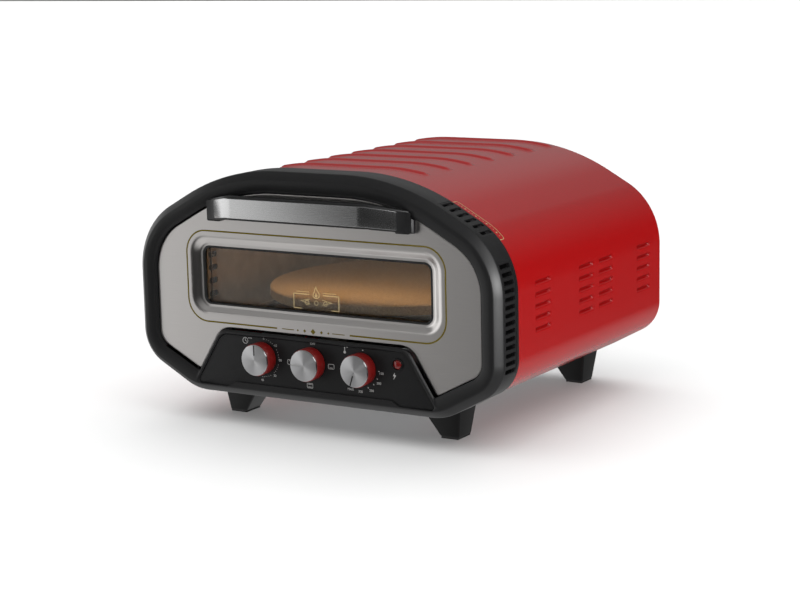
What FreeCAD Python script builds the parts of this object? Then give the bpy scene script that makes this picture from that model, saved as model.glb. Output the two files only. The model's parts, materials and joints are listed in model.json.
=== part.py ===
"""Countertop pizza oven: housing, drop-down door, three knobs and the baking chamber.

Frame: +Z up, the door faces -Y, +X is to the right of somebody facing the door. The origin is the
centre of the footprint, on the surface that the oven stands on. Millimetres and degrees.
Depths ("y") are counted backwards from the outer face of the door, and placed by door_face.
"""
import FreeCAD, Part
import math
import os
import re

import Sketcher
from FreeCAD import Placement, Rotation, Vector

SIZES = {
    # outline of the housing, seen from the front
    "overall_height": 289, "half_width": 235, "crown_half": 110, "crown_radius": 250,
    "shoulder_angle": 29.3, "shoulder_radius": 84, "flank_angle": 28.4, "flank_radius": 44,
    "base_z": 35, "base_half": 162.6, "keel_radius": 60,
    # depths
    "door_face": -185, "casing_front": 38, "casing_back": 397, "casing_inset": 2.5, "sheet_metal": 1.2,
    # front bezel
    "bezel_proud": 6, "bezel_back": 35, "bezel_bevel": 8, "bezel_wall": 2.5, "ring_width": 24,
    "door_gap": 0.9, "lip_bevel": 2, "vent_pitch": 8.46, "vent_length": 21, "vent_height": 4.6,
    "vent_top": 201, "vent_y": 17, "shoulder_vent_x": 182, "shoulder_vent_y": 22, "shoulder_pitch": 10.3,
    "boss_radius": 4, "boss_inset": 14,
    # control panel
    "panel_top": 109, "panel_half": 122.4, "panel_lean": 31.8, "panel_radius": 20, "panel_rim": 4.3,
    "panel_face": -4.5, "panel_thickness": 2.5, "panel_low": 44.5, "panel_step": 6, "panel_step_half": 112,
    "fit_gap": 0.3, "knob_pitch": 65, "knob_z": 81.5, "knob_radius": 18, "cap_radius": 17.3,
    "knob_front": -19.5, "cap_thickness": 1.6, "knob_wall": 2.5, "shaft_radius": 3, "shaft_fit": 0.05,
    "shaft_end": 24, "lamp_x": 110, "lamp_z": 90.5, "lamp_radius": 5.2,
    # front frame and chamber
    "frame_y": 27, "frame_inset": 3.6, "chamber_half": 172, "chamber_top": 228, "chamber_floor": 110,
    "chamber_back": 360, "chamber_radius": 10, "mouth_low": 122, "chamber_sheet": 1, "stone_radius": 158,
    "stone_thickness": 12, "stone_y": 197, "support_top": 129, "element_radius": 3.25, "element_run": 40,
    "upper_element_z": 213, "lower_element_z": 121, "element_front": 95, "element_rear": 312,
    # door
    "skin": 1, "skin_rim": 9, "recess_half": 161.5, "recess_top": 212, "recess_low": 125,
    "recess_radius": 20, "recess_depth": 5, "window_half": 148.5, "window_top": 200, "window_low": 135,
    "window_radius": 9, "glass": 4, "glass_margin": 9, "liner_half": 183, "liner_top": 238,
    "liner_low": 113, "liner_back": 22, "seal_depth": 4.7, "strip_front": 20.1, "strip_depth": 14.9,
    "strip_sheet": 1.2, "strip_slot_low": 140, "strip_slot": 7, "strip_pitch": 15,
    "hinge_y": -1, "hinge_z": 53, "pin_radius": 2, "eye_radius": 3.2, "arm_x": 166, "arm_thickness": 2.5,
    # handle
    "grip_half": 90, "grip_front": -33, "grip_thick": 11, "grip_end": 129, "grip_top": 263.5,
    "grip_low": 237.5, "grip_end_top": 255, "grip_end_low": 231.5, "trim": 1.2, "trim_margin": 2.3,
    # feet and casing details
    "foot_top": 37.3, "foot_inner": 129, "foot_outer": 152, "foot_y": 63.5, "foot_span": 301,
    "foot_half_depth": 14.5, "pad_thickness": 2.5, "lip_half": 100, "base_half_width": 145,
    "bead_first": 88, "bead_pitch": 49, "bead_half": 97, "bead_width": 9, "bead_proud": 2.3,
    "louvre_pitch": 12.6, "louvre_low": 124, "louvre_length": 34, "louvre_height": 3,
    "screw_radius": 1.6, "gland_x": 150, "gland_z": 72, "gland_bore": 3.8, "gland_back": 403,
}
BEADS = 7
STRIP_SLOTS = 4
VENTS = 14
SHOULDER_VENTS = 6
LOUVRE_ROWS = 5
LOUVRE_CENTRES = (95, 199, 249, 350)
KNOBS = {"timer": (-1, 0), "selector": (0, -90), "thermostat": (1, 198)}
GRIP_SCREW = ("grip_end - 4", "(grip_end_top + grip_end_low) / 2")
BOSSES = (("half_width - boss_inset", "175"), ("half_width - boss_inset", "118"), ("80", "271"))
REAR_SCREWS = (("215", "185"), ("215", "100"), ("90", "270"))
LIP_SCREWS = (("122", "130"), ("122", "300"))
TURN = {"x": Rotation(Vector(0, 1, 0), 90), "y": Rotation(Vector(1, 0, 0), -90), "z": Rotation()}
QUARTER = math.pi / 2
ALIAS = re.compile(r"\b(" + "|".join(SIZES) + r")\b")

doc = FreeCAD.newDocument("PizzaOven")
sheet = doc.addObject("Spreadsheet::Sheet", "Sizes")
for row, (alias, number) in enumerate(SIZES.items(), start=1):
    sheet.set(f"A{row}", alias)
    sheet.set(f"B{row}", str(number))
    sheet.setAlias(f"B{row}", alias)
doc.recompute()
parts = []


# ---------------------------------------------------------------- expressions and placing

def link(text):
    """The expression with every size name pointed at the sheet."""
    return ALIAS.sub(r"Sizes.\1", str(text))


def value(text):
    return float(sheet.evalExpression(link(text)))


def place(item, x="0", y="0", z="0"):
    """Puts item at x, y behind the door face, and z."""
    item.setExpression("Placement.Base.x", link(x))
    item.setExpression("Placement.Base.y", link(f"door_face + ({y})"))
    item.setExpression("Placement.Base.z", link(z))
    return item


def part(item, label):
    """Names item as one of the oven's separate pieces."""
    item.Label = label
    parts.append(item)
    return item


# ---------------------------------------------------------------- Part primitives

def box(x, y, z, width, depth, height):
    item = doc.addObject("Part::Box", "Box")
    item.setExpression("Length", link(width))
    item.setExpression("Width", link(depth))
    item.setExpression("Height", link(height))
    return place(item, x, y, z)


def rod(radius, length, x, y, z, axis="y"):
    """A cylinder that starts at x, y, z and runs along +axis."""
    item = doc.addObject("Part::Cylinder", "Rod")
    item.setExpression("Radius", link(radius))
    item.setExpression("Height", link(length))
    item.Placement = Placement(Vector(), TURN[axis])
    return place(item, x, y, z)


def ball(radius, x, y, z):
    item = doc.addObject("Part::Sphere", "Ball")
    item.setExpression("Radius", link(radius))
    return place(item, x, y, z)


def fuse(items):
    joined = doc.addObject("Part::MultiFuse", "Fuse")
    joined.Shapes = items
    return joined


def group(items):
    """Separate solids that share one node."""
    together = doc.addObject("Part::Compound", "Group")
    together.Links = items
    return together


def cut(base, tools):
    result = doc.addObject("Part::Cut", "Cut")
    result.Base = base
    result.Tool = fuse(tools) if len(tools) > 1 else tools[0]
    return result


def common(first, second):
    result = doc.addObject("Part::Common", "Common")
    result.Base = first
    result.Tool = second
    return result


def mirror(item):
    """The same piece on the other side of the middle plane."""
    result = doc.addObject("Part::Mirroring", "Mirror")
    result.Source = item
    result.Normal = Vector(1, 0, 0)
    return result


def tube(points, radius, corner):
    """A round wire or tube along straight runs joined by tangent arcs."""
    spots = [Vector(value(x), value(f"door_face + ({y})"), value(z)) for x, y, z in points]
    edges = []
    start = spots[0]
    for before, spot, after in zip(spots, spots[1:], spots[2:]):
        arrive = (spot - before).normalize()
        leave = (after - spot).normalize()
        half_turn = arrive.getAngle(leave) / 2
        reach = corner * math.tan(half_turn)
        bulge = (leave - arrive).normalize()
        centre_gap = math.hypot(corner, reach)
        first = spot - arrive * reach
        last = spot + leave * reach
        middle = spot + bulge * (centre_gap - corner)
        edges.append(Part.LineSegment(start, first).toShape())
        edges.append(Part.Arc(first, middle, last).toShape())
        start = last
    edges.append(Part.LineSegment(start, spots[-1]).toShape())
    path = Part.Wire(edges)
    circle = Part.Wire(Part.Circle(spots[0], spots[1] - spots[0], radius).toShape())
    item = doc.addObject("Part::Feature", "Tube")
    item.Shape = path.makePipeShell([circle], True, False)
    return item


# ---------------------------------------------------------------- PartDesign helpers

def new_body(label):
    """A body whose own y = 0 is the door face."""
    return part(place(doc.addObject("PartDesign::Body", label)), label)


def origin_plane(body, role):
    return next(item for item in body.Origin.OriginFeatures if item.Role == role)


def new_sketch(body, role="XZ_Plane", level="0"):
    """A sketch at y = level on XZ_Plane, z = level on XY_Plane or x = level on YZ_Plane."""
    sketch = body.newObject("Sketcher::SketchObject", "Sketch")
    sketch.AttachmentSupport = [(origin_plane(body, role), "")]
    sketch.MapMode = "FlatFace"
    sign = "-" if role == "XZ_Plane" else ""
    sketch.setExpression("AttachmentOffset.Base.z", link(f"{sign}({level})"))
    return sketch


def pin_down(sketch, geometry, vertex, across, up):
    """Binds a sketch point's two coordinates to expressions."""
    for kind, axis, text in (("DistanceX", -2, across), ("DistanceY", -1, up)):
        number = value(text)
        if abs(number) < 1e-9:
            sketch.addConstraint(Sketcher.Constraint("PointOnObject", geometry, vertex, axis))
            continue
        index = sketch.addConstraint(Sketcher.Constraint(kind, -1, 1, geometry, vertex, number))
        sketch.setExpression(f"Constraints[{index}]", link(text))


def add_arc(sketch, centre, radius, first, last):
    """An arc that runs anticlockwise from first to last, or from last to first if that is shorter."""
    swap = (first - centre).cross(last - centre).z < 0
    ends = (last, first) if swap else (first, last)
    angles = [math.atan2(spot.y - centre.y, spot.x - centre.x) for spot in ends]
    shape = Part.ArcOfCircle(Part.Circle(centre, Vector(0, 0, 1), radius), *angles)
    return sketch.addGeometry(shape, False), (2, 1) if swap else (1, 2)


def polygon(sketch, corners, mirrored=True):
    """A closed outline of (across, up) or (across, up, radius) corners.

    mirrored adds the same corners on the other side of the vertical axis.
    """
    spots = [Vector(value(corner[0]), value(corner[1]), 0) for corner in corners]
    radii = [value(corner[2]) if len(corner) > 2 else 0 for corner in corners]
    if mirrored:
        spots += [Vector(-spot.x, spot.y, 0) for spot in reversed(spots)]
        radii += radii[::-1]
    count = len(spots)
    arrive, leave, centres = [], [], []
    for i, (spot, radius) in enumerate(zip(spots, radii)):
        back = (spots[i - 1] - spot).normalize()
        ahead = (spots[(i + 1) % count] - spot).normalize()
        half = back.getAngle(ahead) / 2
        arrive.append(spot + back * (radius / math.tan(half)))
        leave.append(spot + ahead * (radius / math.tan(half)))
        centres.append(spot + (back + ahead).normalize() * (radius / math.sin(half)))
    first = sketch.GeometryCount
    for i in range(count):
        sketch.addGeometry(Part.LineSegment(leave[i], arrive[(i + 1) % count]), False)
    marks, arcs = [], []
    for i, radius in enumerate(radii):
        before, after = first + (i - 1) % count, first + i
        if not radius:
            sketch.addConstraint(Sketcher.Constraint("Coincident", before, 2, after, 1))
            marks.append(after)
            arcs.append(None)
            continue
        arc, (start, end) = add_arc(sketch, centres[i], radius, arrive[i], leave[i])
        mark = sketch.addGeometry(Part.Point(spots[i]), True)
        sketch.addConstraint(Sketcher.Constraint("Tangent", before, 2, arc, start))
        sketch.addConstraint(Sketcher.Constraint("Tangent", arc, end, after, 1))
        sketch.addConstraint(Sketcher.Constraint("PointOnObject", mark, 1, before))
        sketch.addConstraint(Sketcher.Constraint("PointOnObject", mark, 1, after))
        marks.append(mark)
        arcs.append(arc)
    for i, corner in enumerate(corners):
        twin = count - 1 - i
        pin_down(sketch, marks[i], 1, corner[0], corner[1])
        if mirrored:
            sketch.addConstraint(Sketcher.Constraint("Symmetric", marks[i], 1, marks[twin], 1, -2))
        if radii[i]:
            index = sketch.addConstraint(Sketcher.Constraint("Radius", arcs[i], radii[i]))
            sketch.setExpression(f"Constraints[{index}]", link(corner[2]))
            if mirrored:
                sketch.addConstraint(Sketcher.Constraint("Equal", arcs[i], arcs[twin]))


def circle(sketch, across, up, radius):
    spot = Vector(value(across), value(up), 0)
    index = sketch.addGeometry(Part.Circle(spot, Vector(0, 0, 1), value(radius)), False)
    pin_down(sketch, index, 3, across, up)
    size = sketch.addConstraint(Sketcher.Constraint("Radius", index, value(radius)))
    sketch.setExpression(f"Constraints[{size}]", link(radius))


def slot(sketch, across, up, length, height, upright=False):
    """A slot with round ends, centred at across, up."""
    reach = f"(({length}) - ({height})) / 2"
    shift = ("0", reach) if upright else (reach, "0")
    ends = [(f"({across}) {sign} {shift[0]}", f"({up}) {sign} {shift[1]}") for sign in "-+"]
    low, high = (Vector(value(x), value(z), 0) for x, z in ends)
    radius = value(height) / 2
    heading = QUARTER if upright else 0
    right = (high - low).normalize().cross(Vector(0, 0, 1)) * radius
    caps = []
    for spot, start in ((low, heading + QUARTER), (high, heading - QUARTER)):
        arc = Part.ArcOfCircle(Part.Circle(spot, Vector(0, 0, 1), radius), start, start + 2 * QUARTER)
        caps.append(sketch.addGeometry(arc, False))
    sides = [sketch.addGeometry(Part.LineSegment(low + right, high + right), False),
             sketch.addGeometry(Part.LineSegment(high - right, low - right), False)]
    ring = [caps[0], sides[0], caps[1], sides[1]]
    for before, after in zip(ring, ring[1:] + ring[:1]):
        sketch.addConstraint(Sketcher.Constraint("Tangent", before, 2, after, 1))
    for cap, (x, z) in zip(caps, ends):
        pin_down(sketch, cap, 3, x, z)
    size = sketch.addConstraint(Sketcher.Constraint("Radius", caps[0], radius))
    sketch.setExpression(f"Constraints[{size}]", link(f"({height}) / 2"))


def pad(body, sketch, length):
    """Adds material behind the sketch: backwards from an XZ sketch, upwards from an XY one."""
    feature = body.newObject("PartDesign::Pad", "Pad")
    feature.Profile = sketch
    feature.setExpression("Length", link(length))
    feature.Reversed = "XZ" in sketch.AttachmentSupport[0][0].Role
    return feature


def pocket(body, sketch, length=None, both_ways=False, reverse=False):
    """Cuts backwards from an XZ sketch and downwards from an XY one; no length cuts right through."""
    feature = body.newObject("PartDesign::Pocket", "Pocket")
    feature.Profile = sketch
    feature.Reversed = reverse
    if both_ways:
        feature.SideType = "Symmetric"
    if length is None:
        feature.Type = "ThroughAll"
    else:
        feature.setExpression("Length", link(length))
    return feature


def repeat(body, feature, rows):
    """Repeats a feature along one or two axes: (axis, count, pitch) for each."""
    doc.recompute()
    pattern = body.newObject("PartDesign::LinearPattern", "Pattern")
    pattern.Originals = [feature]
    for suffix, (axis, count, pitch) in zip(("", "2"), rows):
        setattr(pattern, f"Direction{suffix}", (origin_plane(body, axis), [""]))
        setattr(pattern, f"Occurrences{suffix}", count)
        pattern.setExpression(f"Length{suffix}", link(f"{count - 1} * ({pitch})"))
    body.Tip = pattern
    doc.recompute()
    return pattern


def front_edges(shape, level):
    """The names of the edges that lie in the plane y = level."""
    names = []
    for number, edge in enumerate(shape.Edges, start=1):
        if all(abs(vertex.Y - level) < 1e-6 for vertex in edge.Vertexes):
            names.append(f"Edge{number}")
    return names


def hole_edges(shape, level):
    """The names of the edges round the openings of the face that lies in the plane y = level."""
    face = next(face for face in shape.Faces if all(abs(vertex.Y - level) < 1e-6 for vertex in face.Vertexes))
    rims = [edge for wire in face.Wires if not wire.isSame(face.OuterWire) for edge in wire.Edges]
    return [f"Edge{number}" for number, edge in enumerate(shape.Edges, start=1)
            if any(edge.isSame(rim) for rim in rims)]


def dress(body, kind, names, size):
    """Fillets or chamfers the named edges of the body's last feature."""
    base = body.Tip
    feature = body.newObject(f"PartDesign::{kind}", kind)
    feature.Base = (base, names)
    feature.setExpression("Radius" if kind == "Fillet" else "Size", link(size))
    doc.recompute()
    return feature


def prism(body, corners, level, length=None, cutting=False, mirrored=True):
    """A pad or pocket along Y, from y = level."""
    sketch = new_sketch(body, level=level)
    polygon(sketch, corners, mirrored)
    feature = pocket(body, sketch, length) if cutting else pad(body, sketch, length)
    doc.recompute()
    return feature


# ---------------------------------------------------------------- outlines

def outline(inset):
    """The housing's outline, moved inwards: crown, shoulder, flank and keel corners."""
    return [
        (f"crown_half - ({inset}) * tan(shoulder_angle / 2)", f"overall_height - ({inset})",
         f"crown_radius - ({inset})"),
        (f"half_width - ({inset})",
         f"overall_height - (half_width - crown_half) * tan(shoulder_angle)"
         f" - ({inset}) * tan(45 - shoulder_angle / 2)", f"shoulder_radius - ({inset})"),
        (f"half_width - ({inset})",
         f"base_z + (half_width - base_half) * tan(flank_angle) + ({inset}) * tan(45 - flank_angle / 2)",
         f"flank_radius - ({inset})"),
        (f"base_half - ({inset}) * tan(flank_angle / 2)", f"base_z + ({inset})",
         f"keel_radius - ({inset})"),
    ]


def door_outline(inset, gap):
    """The door: the housing's outline, notched round the control panel's rim."""
    return outline(inset)[:3] + [
        (f"panel_half + (panel_top - base_z - ({inset})) * tan(panel_lean) + ({gap}) / cos(panel_lean)",
         f"base_z + ({inset})", "3"),
        (f"panel_half + ({gap}) * tan(45 - panel_lean / 2)", f"panel_top + ({gap})",
         f"panel_radius + ({gap})"),
    ]


def panel_outline(inset):
    """The control panel: sloping sides, and a bottom edge that steps up in the middle."""
    return [
        (f"panel_half - ({inset}) * tan(45 - panel_lean / 2)", f"panel_top - ({inset})",
         f"panel_radius - ({inset})"),
        (f"panel_half + (panel_top - panel_low) * tan(panel_lean) - ({inset}) / cos(panel_lean)",
         "panel_low", "4"),
        ("panel_step_half", "panel_low", "7"),
        ("panel_step_half - 10", "panel_low + panel_step", "7"),
    ]


def upright_box(half, top, low, radius):
    return [(half, top, radius), (half, low, radius)]


def shouldered_box(half, top, low, radius, inset):
    """An upright box whose top corners are cut along the housing's shoulders, moved inwards by inset."""
    shoulder = (f"overall_height - ({inset}) - (({half}) - crown_half + ({inset}) * tan(shoulder_angle / 2))"
                " * tan(shoulder_angle)")
    corner = f"({half}) - (({top}) - ({shoulder})) / tan(shoulder_angle)"
    return [(corner, top, radius), (half, shoulder, radius), (half, low, radius)]


# ---------------------------------------------------------------- housing, outside

def make_front_bezel():
    body = new_body("front_bezel")
    prism(body, outline("0"), "-bezel_proud", "bezel_proud + bezel_back")
    dress(body, "Chamfer", front_edges(body.Tip.Shape, -value("bezel_proud")), "bezel_bevel")
    prism(body, outline("bezel_wall"), "bezel_bevel - 4", cutting=True)
    prism(body, outline("bezel_wall + bezel_bevel - 1.5"), "bezel_wall - bezel_proud", cutting=True)
    prism(body, door_outline("ring_width - door_gap", "0"), "-bezel_proud", cutting=True)
    dress(body, "Chamfer", hole_edges(body.Tip.Shape, -value("bezel_proud")), "lip_bevel")
    prism(body, panel_outline("panel_rim"), "-bezel_proud", cutting=True)
    wells = new_sketch(body, level="1.2 - bezel_proud")
    for sign in ("", "-"):
        polygon(wells, [(f"{sign}({x})", z) for x, z in (
            ("arm_x - 5", "hinge_z - 3"), ("arm_x + 7", "hinge_z - 3"),
            ("arm_x + 7", "hinge_z + 4.5"), ("arm_x - 5", "hinge_z + 4.5"))], mirrored=False)
    pocket(body, wells, "bezel_wall")
    side = new_sketch(body, "YZ_Plane")
    slot(side, "vent_y", f"vent_top - {VENTS - 1} * vent_pitch", "vent_length", "vent_height")
    repeat(body, pocket(body, side, both_ways=True), [("Z_Axis", VENTS, "vent_pitch")])
    shoulder = new_sketch(body, "XY_Plane")
    middle = "overall_height + 3 - (shoulder_vent_x - crown_half) * tan(shoulder_angle)"
    shoulder.setExpression("AttachmentOffset.Base.x", link("shoulder_vent_x"))
    shoulder.setExpression("AttachmentOffset.Base.z", link(middle))
    shoulder.AttachmentOffset = Placement(shoulder.AttachmentOffset.Base,
                                          Rotation(Vector(0, 1, 0), value("shoulder_angle")))
    for i in range(SHOULDER_VENTS):
        slot(shoulder, f"({i} - {(SHOULDER_VENTS - 1) / 2}) * shoulder_pitch", "shoulder_vent_y",
             "vent_length", "vent_height", upright=True)
    opening = pocket(body, shoulder, "9")
    doc.recompute()
    twin = body.newObject("PartDesign::Mirrored", "Mirrored")
    twin.Originals = [opening]
    twin.MirrorPlane = (origin_plane(body, "YZ_Plane"), [""])
    body.Tip = twin
    posts = new_sketch(body, level="bezel_wall - bezel_proud - 0.5")
    pilots = new_sketch(body, level="frame_y - 12")
    for x, z in BOSSES:
        for sign in ("", "-"):
            circle(posts, f"{sign}({x})", z, "boss_radius")
            circle(pilots, f"{sign}({x})", z, "screw_radius")
    pad(body, posts, "frame_y - fit_gap - (bezel_wall - bezel_proud - 0.5)")
    pocket(body, pilots)


def make_control_panel():
    body = new_body("control_panel")
    prism(body, panel_outline("panel_rim + fit_gap"), "panel_face", "panel_thickness")
    holes = new_sketch(body, level="panel_face")
    for side, _ in KNOBS.values():
        circle(holes, f"{side} * knob_pitch", "knob_z", "shaft_radius + 1")
    circle(holes, "lamp_x", "lamp_z", "lamp_radius + 1")
    pocket(body, holes)


def make_indicator():
    flange = rod("lamp_radius + 2", "1.5", "lamp_x", "panel_face - 1.5", "lamp_z")
    sleeve = rod("lamp_radius + 0.9", "10", "lamp_x", "panel_face - 0.5", "lamp_z")
    bore = rod("lamp_radius", "20", "lamp_x", "panel_face - 5", "lamp_z")
    part(cut(fuse([flange, sleeve]), [bore]), "indicator_bezel")
    plug = rod("lamp_radius - 0.1", "7", "lamp_x", "panel_face - 4", "lamp_z")
    dome = ball("9", "lamp_x", "panel_face - 3.5 + 9", "lamp_z")
    part(common(plug, dome), "indicator_lens")
    bulb = rod("2.5", "10", "lamp_x", "0", "lamp_z")
    holder = rod("lamp_radius - 0.1", "6", "lamp_x", "panel_face + 9.5", "lamp_z")
    part(fuse([bulb, holder]), "indicator_lamp")


def make_front_frame():
    body = new_body("front_frame")
    prism(body, outline("frame_inset"), "frame_y", "casing_front + 8 - frame_y")
    prism(body, outline("frame_inset + sheet_metal"), "frame_y + sheet_metal", cutting=True)
    mouth = shouldered_box("chamber_half - 1.5", "chamber_top - 1.5", "mouth_low", "8", "ring_width + 14")
    prism(body, mouth, "frame_y", cutting=True)
    prism(body, upright_box("125", "chamber_floor - 4", "base_z + 9", "4"), "frame_y", cutting=True)
    holes = new_sketch(body, level="frame_y")
    for x, z in BOSSES:
        for sign in ("", "-"):
            circle(holes, f"{sign}({x})", z, "screw_radius")
    pocket(body, holes)


def make_outer_casing():
    shell = place(doc.addObject("PartDesign::Body", "CasingShell"))
    length = "casing_back - casing_front"
    prism(shell, outline("casing_inset"), "casing_front", length)
    prism(shell, outline("casing_inset + 1"), "casing_front", cutting=True)
    belly = new_sketch(shell, "XY_Plane", "base_z + casing_inset + 2")
    polygon(belly, [("lip_half", "casing_front - 1"), ("lip_half", "casing_back + 1")])
    pocket(shell, belly)
    screws = new_sketch(shell, "XY_Plane", "base_z + casing_inset + 2")
    for x, y in foot_spots() + list(LIP_SCREWS):
        for sign in ("", "-"):
            circle(screws, f"{sign}({x})", y, "2.1" if (x, y) in foot_spots() else "screw_radius")
    pocket(shell, screws)
    louvres = new_sketch(shell, "YZ_Plane")
    for centre in LOUVRE_CENTRES:
        slot(louvres, centre, "louvre_low", "louvre_length", "louvre_height")
    repeat(shell, pocket(shell, louvres, both_ways=True), [("Z_Axis", LOUVRE_ROWS, "louvre_pitch")])
    swell = place(doc.addObject("PartDesign::Body", "BeadProfile"))
    prism(swell, outline("casing_inset - bead_proud"), "casing_front", length)
    prism(swell, outline("casing_inset + 0.5"), "casing_front", cutting=True)
    bars = []
    for i in range(BEADS):
        middle = f"bead_first + {i} * bead_pitch"
        bars.append(box("-bead_half", f"{middle} - bead_width / 2", "250", "2 * bead_half",
                        "bead_width", "60"))
    part(fuse([shell, common(swell, group(bars))]), "outer_casing")


def foot_spots():
    """Where the foot screws stand on the right-hand side: front and rear."""
    middle = "(foot_inner + foot_outer) / 2 - 6"
    return [(middle, "foot_y"), (middle, "foot_y + foot_span")]


def make_rear_panel():
    body = new_body("rear_panel")
    prism(body, outline("casing_inset + 1.2"), "casing_back - 17", "11.2")
    prism(body, outline("casing_inset + 2.4"), "casing_back - 17", "10", cutting=True)
    grille = new_sketch(body, level="casing_back - 17")
    slot(grille, "-90", "130", "44", "4.5")
    repeat(body, pocket(body, grille), [("X_Axis", 4, "60"), ("Z_Axis", 6, "14")])
    openings = new_sketch(body, level="casing_back - 17")
    circle(openings, "gland_x", "gland_z", "gland_bore + 2")
    for x, z in REAR_SCREWS:
        for sign in ("", "-"):
            circle(openings, f"{sign}{x}", z, "screw_radius")
    pocket(body, openings)


def make_base_pan():
    body = new_body("base_pan")
    plate = new_sketch(body, "XY_Plane", "base_z + casing_inset + 1")
    polygon(plate, [("base_half_width", "casing_front + 9"), ("base_half_width", "casing_back - 18")])
    pad(body, plate, "sheet_metal")
    grille = new_sketch(body, "XY_Plane", "base_z + casing_inset + 1 + sheet_metal")
    slot(grille, "-62", "110", "46", "5")
    repeat(body, pocket(body, grille), [("X_Axis", 3, "62"), ("Y_Axis", 12, "20")])
    openings = new_sketch(body, "XY_Plane", "base_z + casing_inset + 1 + sheet_metal")
    for x, y in foot_spots() + list(LIP_SCREWS):
        for sign in ("", "-"):
            circle(openings, f"{sign}({x})", y, "2.1" if (x, y) in foot_spots() else "screw_radius")
    pocket(body, openings)


def make_foot(label, sign, y):
    """A tapered foot: its inner side slopes more than its outer side."""
    body = new_body(label)
    section = []
    sizes = ((f"{sign} * (foot_inner - 24)", f"{sign} * (foot_outer + 5)", "foot_half_depth + 5", "foot_top"),
             (f"{sign} * foot_inner", f"{sign} * foot_outer", "foot_half_depth", "pad_thickness"))
    for inner, outer, half, level in sizes:
        sketch = new_sketch(body, "XY_Plane", level)
        polygon(sketch, [(inner, f"{y} - ({half})"), (outer, f"{y} - ({half})"),
                         (outer, f"{y} + {half}"), (inner, f"{y} + {half}")], mirrored=False)
        section.append(sketch)
    loft = body.newObject("PartDesign::AdditiveLoft", "Loft")
    loft.Profile = section[0]
    loft.Sections = [section[1]]
    loft.Ruled = True
    doc.recompute()
    x = f"{sign} * ({foot_spots()[0][0]})"
    for radius, level in (("2.1", "foot_top"), ("4.2", "foot_top - 16")):
        sketch = new_sketch(body, "XY_Plane", level)
        circle(sketch, x, y, radius)
        pocket(body, sketch)


def make_feet():
    pads = []
    screws = []
    for end, y in (("front", "foot_y"), ("rear", "foot_y + foot_span")):
        for side, sign in (("left", -1), ("right", 1)):
            make_foot(f"foot_{end}_{side}", sign, y)
            low = f"{sign} * (foot_inner + foot_outer) / 2 - (foot_outer - foot_inner) / 2"
            pads.append(box(f"{low} + 1", f"{y} - foot_half_depth + 1", "0", "foot_outer - foot_inner - 2",
                            "2 * foot_half_depth - 2", "pad_thickness"))
            x = f"{sign} * ({foot_spots()[0][0]})"
            head = rod("3.8", "3", x, y, "foot_top - 19", "z")
            shank = rod("2", "24", x, y, "foot_top - 16", "z")
            screws.append(fuse([head, shank]))
    part(group(pads), "foot_pads")
    part(group(screws), "foot_screws")


def make_screws():
    """Pan-head screws for the rear panel, the bezel and the casing's lower lips."""
    rear = []
    bezel = []
    lips = []
    for sign in ("", "-"):
        for x, z in REAR_SCREWS:
            back = "casing_back - 5.8"
            head = rod("3.4", "1.8", f"{sign}{x}", back, z)
            shank = rod("screw_radius", "10", f"{sign}{x}", f"{back} - 10", z)
            rear.append(fuse([head, shank]))
        for x, z in BOSSES:
            head = rod("3.2", "2", f"{sign}({x})", "frame_y + sheet_metal", z)
            shank = rod("screw_radius", "11", f"{sign}({x})", "frame_y + sheet_metal - 11", z)
            bezel.append(fuse([head, shank]))
        for x, y in LIP_SCREWS:
            low = "base_z + casing_inset"
            head = rod("3.4", "1.8", f"{sign}({x})", y, f"{low} - 1.8", "z")
            shank = rod("screw_radius", "8", f"{sign}({x})", y, low, "z")
            lips.append(fuse([head, shank]))
    part(group(rear), "rear_screws")
    part(group(bezel), "bezel_screws")
    part(group(lips), "base_screws")


# ---------------------------------------------------------------- baking chamber

def make_chamber():
    body = new_body("chamber_shell")
    front = "frame_y + sheet_metal"
    walls = upright_box("chamber_half", "chamber_top", "chamber_floor", "chamber_radius")
    hollow = upright_box("chamber_half - chamber_sheet", "chamber_top - chamber_sheet",
                         "chamber_floor + chamber_sheet", "chamber_radius - chamber_sheet")
    prism(body, walls, front, f"chamber_back - ({front})")
    prism(body, hollow, front, cutting=True)
    back = new_body("chamber_rear_wall")
    prism(back, walls, "chamber_back", "sheet_metal")
    holes = new_sketch(back, level="chamber_back")
    for z in ("upper_element_z", "lower_element_z"):
        for sign in (-1, 1):
            circle(holes, f"{sign} * 3 * element_run", z, "element_radius + 0.05")
    circle(holes, "150", "200", "1.2")
    pocket(back, holes)
    wool = new_body("insulation_blanket")
    thick = upright_box("chamber_half + 11.5", "chamber_top + 11.5", "chamber_floor + 2",
                        "chamber_radius + 11")
    prism(wool, thick, "50", "chamber_back - 52")
    prism(wool, upright_box("chamber_half + 0.3", "chamber_top + 0.3", "chamber_floor - 5", "chamber_radius"),
          "50", cutting=True)


def make_vent_strips():
    """The slotted strips that line the left and right sides of the door's window, behind the panes."""
    x = "window_half - strip_sheet - 0.05"
    strip = box(x, "strip_front", "window_low + 3.5", "strip_sheet", "strip_depth",
                "window_top - window_low - 7")
    slots = []
    for i in range(STRIP_SLOTS):
        slots.append(box("window_half - 5", "strip_front + 2.5", f"strip_slot_low + {i} * strip_pitch",
                         "10", "strip_depth - 5", "strip_slot"))
    right = cut(strip, slots)
    part(group([right, mirror(right)]), "door_vent_strips")


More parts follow.
